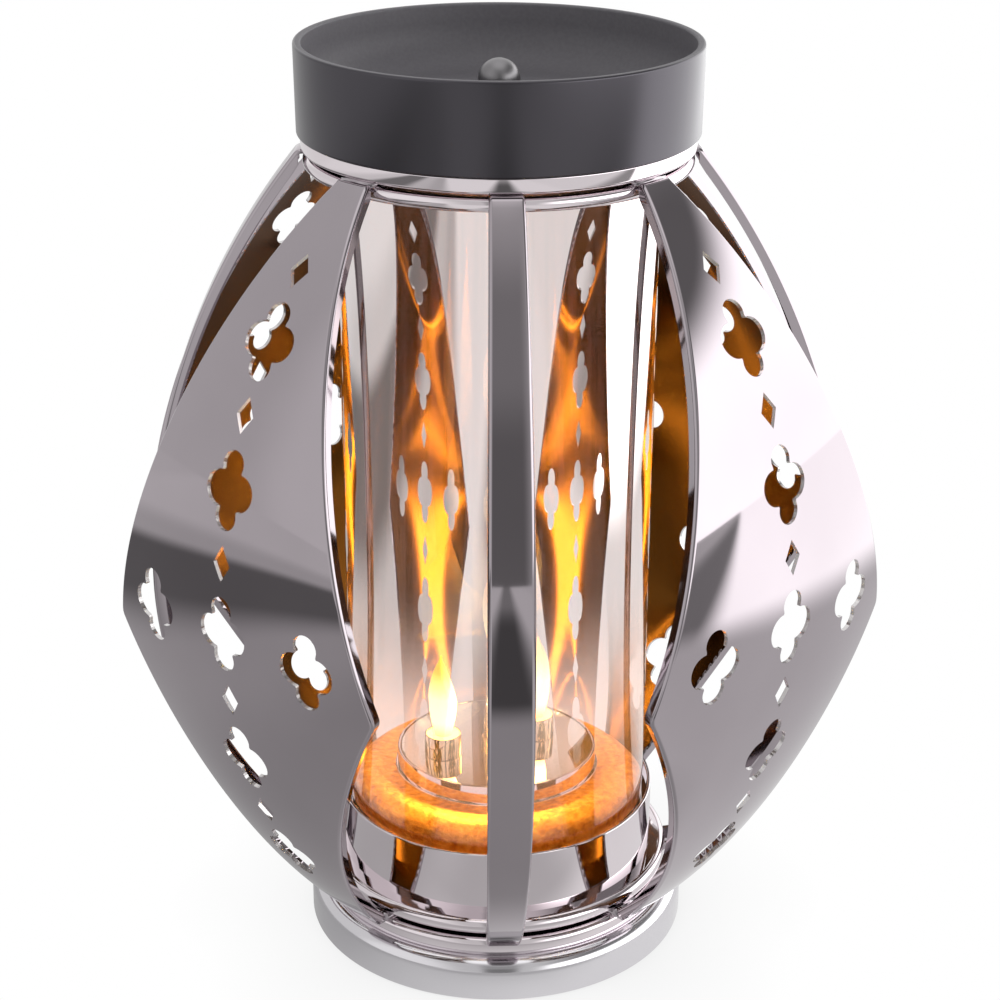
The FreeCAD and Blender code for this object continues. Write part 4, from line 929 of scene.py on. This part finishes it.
def petal_mesh():
    """The pierced, dished petal with hem, hole edges and end tabs, and the normals that shade it."""
    flat, faces, ways_out = petal_flat()
    skin = [petal_point(*point) for point in flat]
    normals = [petal_normal(*point) for point in flat]
    count = len(flat)
    points = skin + [point - normal * LEAF_THICK for point, normal in zip(skin, normals)]
    shading = normals + [-normal for normal in normals]
    outer = outward_faces(faces, skin, normals)
    inner = [tuple(i + count for i in face[::-1]) for face in outer]
    columns = {}
    for i, way_out in ways_out.items():
        rows = hem_rows(flat[i], way_out)
        columns[i] = [i] + list(range(len(points), len(points) + len(rows)))
        points += [place for place, _ in rows]
        shading += [normal for _, normal in rows]
    walls = []
    hems = []
    for start, end in open_edges(outer):
        if start in columns and end in columns:
            one, two = columns[start], columns[end]
            hems += [(two[k], one[k], one[k + 1], two[k + 1]) for k in range(len(one) - 1)]
        else:
            walls.append(tuple(range(len(points), len(points) + 4)))
            points += [points[end], points[start], points[start + count], points[end + count]]
    tabs = box_faces(len(points)) + box_faces(len(points) + 8)
    points += tab_corners()
    shading += [Vector()] * (len(points) - len(shading))
    mesh = new_mesh("petal", points, outer + inner + hems + walls + tabs)
    looks = []
    for group, finish, smooth in (
        (outer, OUTSIDE, True),
        (inner, INSIDE, True),
        (hems, OUTSIDE, True),
        (walls, HOLE_EDGE, False),
        (tabs, OUTSIDE, False),
    ):
        looks += [(finish, smooth)] * len(group)
    for polygon, (finish, smooth) in zip(mesh.polygons, looks):
        polygon.material_index = finish
        polygon.use_smooth = smooth
    return mesh, shading


def dress_petals():
    mesh, shading = petal_mesh()
    for place, bearing in PETALS.items():
        turn = Matrix.Rotation(math.radians(bearing), 4, "Z")
        copy = mesh.copy()
        copy.transform(turn)
        copy.normals_split_custom_set_from_vertices([turn.to_3x3() @ normal for normal in shading])
        link("petal_" + place, copy, LANTERN, PETAL_FINISHES)


# Candle unit

def dress_drum():
    bead = DRUM_RADIUS + DRUM_BEAD
    bead_top = FLOOR_TOP + DRUM_BEAD_HEIGHT
    inner = DRUM_RADIUS - DRUM_WALL
    turned("candle_drum", [
        (inner, FLOOR_TOP, 0),
        (bead, FLOOR_TOP, 0),
        (bead, bead_top, SMALL_EDGE),
        (DRUM_RADIUS, bead_top, 0),
        (DRUM_RADIUS, DRUM_TOP, FINE_EDGE),
        (inner, DRUM_TOP, FINE_EDGE),
    ], BRIGHT_CHROME)


def dress_mirror():
    radius = DRUM_RADIUS - DRUM_WALL - MIRROR_GAP
    base = MIRROR_TOP - MIRROR_THICK
    turned("mirror_plate", [
        (0, base, 0),
        (radius, base, 0),
        (radius, MIRROR_TOP, MIRROR_EDGE),
        (0, MIRROR_TOP, 0),
    ], MIRROR)


def cup_mesh():
    inner = CUP_RADIUS - CUP_WALL
    floor = MIRROR_TOP + CUP_WALL
    rim = MIRROR_TOP + CUP_HEIGHT
    return lathe_mesh("cup", [
        (LAMP_BORE, MIRROR_TOP, 0),
        (CUP_RADIUS, MIRROR_TOP, SMALL_EDGE),
        (CUP_RADIUS, rim, CUT_EDGE),
        (inner, rim, CUT_EDGE),
        (inner, floor, 0),
        (LAMP_BORE, floor, 0),
    ], SMALL_SEGMENTS, SMALL_ARC_STEPS)


def wax_mesh():
    base = MIRROR_TOP + CUP_WALL
    return lathe_mesh("wax", [
        (LAMP_BORE, base, 0),
        (WAX_RADIUS, base, 0),
        (WAX_RADIUS, WAX_TOP, SMALL_EDGE),
        (LAMP_BORE, WAX_TOP, 0),
    ], SMALL_SEGMENTS, SMALL_ARC_STEPS)


def flame_radius(share):
    """Flame radius along its height: a narrower foot, a full belly and a blunt tip."""
    quarter = math.pi / 2
    if share < FLAME_BELLY:
        return FLAME_RADIUS * (FLAME_FOOT + (1 - FLAME_FOOT) * math.sin(quarter * share / FLAME_BELLY))
    return FLAME_RADIUS * max(FLAME_TIP, math.cos(quarter * (share - FLAME_BELLY) / (1 - FLAME_BELLY)))


def flame_mesh():
    """A teardrop with a curled tip: rings whose radius and sideways shift follow the height."""
    rings, around = 41, 32
    points = []
    for i in range(rings):
        share = i / (rings - 1)
        swell = flame_radius(share)
        shift = FLAME_CURL * math.sin(math.pi * max(0, share - FLAME_BELLY) / FLAME_CURL_SPAN)
        for j in range(around):
            turn = 2 * math.pi * j / around
            points.append((shift + swell * math.cos(turn), swell * math.sin(turn), FLAME_HEIGHT * share))
    return smooth_mesh("flame", points, tube_faces(rings, around))


def candle_spot(name):
    """Where a short candle stands, and the angle it is turned by."""
    out, bearing = CANDLES[name]
    turn = math.radians(bearing)
    return Vector((out * math.cos(turn), out * math.sin(turn), 0)), turn


def set_down(node, mesh, spot, turn, material):
    """A copy of a mesh as a piece, turned about the axis and moved to a spot."""
    copy = mesh.copy()
    copy.transform(Matrix.Translation(spot * MM) @ Matrix.Rotation(turn, 4, "Z"))
    return link(node, copy, LANTERN, [material])


def dress_candles():
    """The short candles and all flames, which let the light of their lamps out."""
    cup = cup_mesh()
    wax = wax_mesh()
    flame = flame_mesh()
    for name in CANDLES:
        spot, turn = candle_spot(name)
        flame_foot = spot + Vector((0, 0, WAX_TOP))
        set_down("cup_" + name, cup, spot, turn, CUP_METAL)
        set_down("candle_" + name, wax, spot, turn, GLOWING_WAX)
        set_down("flame_" + name, flame, flame_foot, turn, FLAME).visible_shadow = False
    stick_end = Vector((0, 0, STICK_TOP))
    tall_turn = math.radians(TALL_FLAME_BEARING)
    set_down("flame_tall", flame, stick_end, tall_turn, FLAME).visible_shadow = False


def dress_stick():
    """The parts of the tall stick, one on top of the other."""
    base = MIRROR_TOP
    for part, (radius, length) in STICK.items():
        top = base + length
        turned("stick_" + part, [
            (LAMP_BORE, base, 0),
            (radius, base, FINE_EDGE),
            (radius, top, FINE_EDGE),
            (LAMP_BORE, top, 0),
        ], BRASS, segments=SMALL_SEGMENTS)
        base = top


# CAD nodes that keep their own mesh

def paint_kept_nodes():
    kept = {
        BLACK_PLASTIC: ["base_plate", "battery_box", "battery_door", "switch_case"],
        PALE_PLASTIC: ["switch_slider"],
        BOARD_GREEN: ["lamp_board"],
        CELL_JACKET: ["battery_cells"],
        LAMP_RESIN: ["lamps"],
        STEEL: ["contact_plates", "contact_springs", "foot_bolts", "foot_nuts", "top_screws",
                "base_screws", "knob_screw"],
    }
    for material, names in kept.items():
        for name in names:
            NODES[name].data.materials.clear()
            NODES[name].data.materials.append(material)


# Stage, light and camera

def stage_plane(name, level):
    """A square stage plane under the lantern that shines upwards and is clear from below."""
    half = STAGE_HALF
    corners = [(-half, -half, level), (half, -half, level), (half, half, level), (-half, half, level)]
    mesh = new_mesh(name, corners, [(0, 1, 2, 3)])
    plane = bpy.data.objects.new(name, mesh)
    bpy.context.scene.collection.objects.link(plane)
    plane.visible_shadow = False
    material = bpy.data.materials.new(name)
    material.use_nodes = True
    nodes, links = material.node_tree.nodes, material.node_tree.links
    nodes.clear()
    light = nodes.new("ShaderNodeEmission")
    clear = nodes.new("ShaderNodeBsdfTransparent")
    below = nodes.new("ShaderNodeNewGeometry").outputs["Backfacing"]
    output = nodes.new("ShaderNodeOutputMaterial")
    surface = blend(nodes, links, below, light.outputs["Emission"], clear.outputs["BSDF"])
    links.new(surface, output.inputs["Surface"])
    mesh.materials.append(material)
    return plane, nodes, links, light


def white_floor():
    """A plain white floor with a soft shadow at the foot, seen by the camera and through glass."""
    floor, nodes, links, light = stage_plane("floor", SEEN_FLOOR_LEVEL)
    floor.visible_glossy = False
    floor.visible_diffuse = False
    shade = nodes.new("ShaderNodeAmbientOcclusion")
    shade.inputs["Distance"].default_value = SHADOW_REACH * MM
    links.new(spread(nodes, links, shade.outputs["AO"], SHADOW_LEVEL, 1.0), light.inputs["Strength"])


def mirrored_floor():
    """The floor that metal and glass mirror: a pale table, bright right, darker left and in front.

    Every step along it is given in metres from the axis.
    """
    floor, nodes, links, light = stage_plane("mirrored_floor", MIRRORED_FLOOR_LEVEL)
    floor.visible_camera = False
    floor.visible_transmission = False
    x, y, _ = coordinates(nodes, links, "Object")
    leftwards = slanted(nodes, links, x, y, -0.6)
    backwards = slanted(nodes, links, y, x, 0.1)
    table = profile(nodes, links, leftwards, 0.8, [
        (-1.15, -0.85, 0.62),
        (-0.78, -0.66, 0.17),
        (-0.44, -0.3, 0.52),
        (-0.25, -0.1, 0.43),
        (-0.06, 0.06, 0.78),
    ])
    before_right = profile(nodes, links, y, 0.73, [(-0.6, -0.35, 0.3)])
    right = profile(nodes, links, backwards, before_right, [(-0.15, -0.09, 2.2)])
    sides = profile(nodes, links, x, table, [(0.36, 0.5, right)])
    strip = profile(nodes, links, y, 0.3, [
        (-1.8, -1.0, 0.1),
        (-0.43, -0.35, 0.46),
        (-0.1, -0.06, sides),
    ])
    front = profile(nodes, links, x, sides, [(-0.14, -0.03, strip), (0.05, 0.16, sides)])
    back = profile(nodes, links, x, 0.75, [(-0.2, 0.2, 1.1), (0.3, 0.6, 2.2)])
    floor_level = profile(nodes, links, y, front, [(0.35, 0.6, back)])
    links.new(floor_level, light.inputs["Strength"])


def studio_world():
    """White behind the lantern; in mirrors a bright right, a grey left, a dark front and a pale back."""
    world = bpy.data.worlds.new("studio")
    bpy.context.scene.world = world
    world.use_nodes = True
    nodes, links = world.node_tree.nodes, world.node_tree.links
    nodes.clear()
    x, y, z = coordinates(nodes, links, "Generated")
    strip = profile(nodes, links, z, 0.2, [(0.35, 0.55, 0.32), (0.7, 0.9, 0.6)])
    front = profile(nodes, links, x, 0.6, [(-0.2, -0.1, strip), (0.12, 0.22, 0.6)])
    middle = profile(nodes, links, y, front, [(-0.3, 0.4, 1.0)])
    right = profile(nodes, links, z, 2.5, [(0.38, 0.57, 0.2)])
    left = profile(nodes, links, y, 0.9, [(-0.25, 0.0, 0.72)])
    around = profile(nodes, links, x, left, [(-0.65, -0.3, middle), (0.3, 0.7, right)])
    dome = profile(nodes, links, z, around, [(0.85, 0.97, 1.2)])
    room = nodes.new("ShaderNodeBackground")
    links.new(dome, room.inputs["Strength"])
    white = nodes.new("ShaderNodeBackground")
    for background in (room, white):
        background.inputs["Color"].default_value = (1, 1, 1, 1)
    output = nodes.new("ShaderNodeOutputWorld")
    seen = either_ray(nodes, links, "Is Camera Ray", "Is Transmission Ray")
    surface = blend(nodes, links, seen, room.outputs["Background"], white.outputs["Background"])
    links.new(surface, output.inputs["Surface"])


def warm_lamp(name, flame_foot, power):
    """A small warm lamp inside a flame."""
    lamp = bpy.data.lights.new(name, "POINT")
    lamp.energy = power
    lamp.color = LAMP_COLOUR
    lamp.shadow_soft_size = LAMP_RADIUS * MM
    holder = bpy.data.objects.new(name, lamp)
    holder.location = (flame_foot + Vector((0, 0, LAMP_LIFT))) * MM
    bpy.context.scene.collection.objects.link(holder)


def light_flames():
    for name in CANDLES:
        spot, _ = candle_spot(name)
        warm_lamp("glow_" + name, spot + Vector((0, 0, WAX_TOP)), SHORT_LAMP_POWER)
    warm_lamp("glow_tall", Vector((0, 0, STICK_TOP)), TALL_LAMP_POWER)


def place_camera():
    data = bpy.data.cameras.new("camera")
    data.sensor_width = SENSOR
    data.lens = FOCAL_PIXELS / IMAGE_PIXELS * SENSOR
    data.shift_x = (IMAGE_PIXELS / 2 - CENTRE_PIXEL) / IMAGE_PIXELS
    camera = bpy.data.objects.new("camera", data)
    turn = math.radians(CAMERA_TURN)
    camera.location = Vector((
        -CAMERA_DISTANCE * math.sin(turn), -CAMERA_DISTANCE * math.cos(turn), CAMERA_HEIGHT)) * MM
    look = Matrix.Rotation(-turn, 3, "Z") @ Matrix.Rotation(math.radians(90 - CAMERA_PITCH), 3, "X")
    camera.rotation_euler = (look @ Matrix.Rotation(math.radians(CAMERA_ROLL), 3, "Z")).to_euler()
    bpy.context.scene.collection.objects.link(camera)
    bpy.context.scene.camera = camera


dress_foot()
dress_foot_rings()
dress_pedestal()
dress_floor_plate()
dress_glass()
dress_upper_ring()
dress_collar()
dress_lid()
dress_knob()
dress_straps()
dress_petals()
dress_drum()
dress_mirror()
dress_candles()
dress_stick()
paint_kept_nodes()
white_floor()
mirrored_floor()
studio_world()
light_flames()
place_camera()
bpy.context.scene.view_settings.view_transform = "Standard"
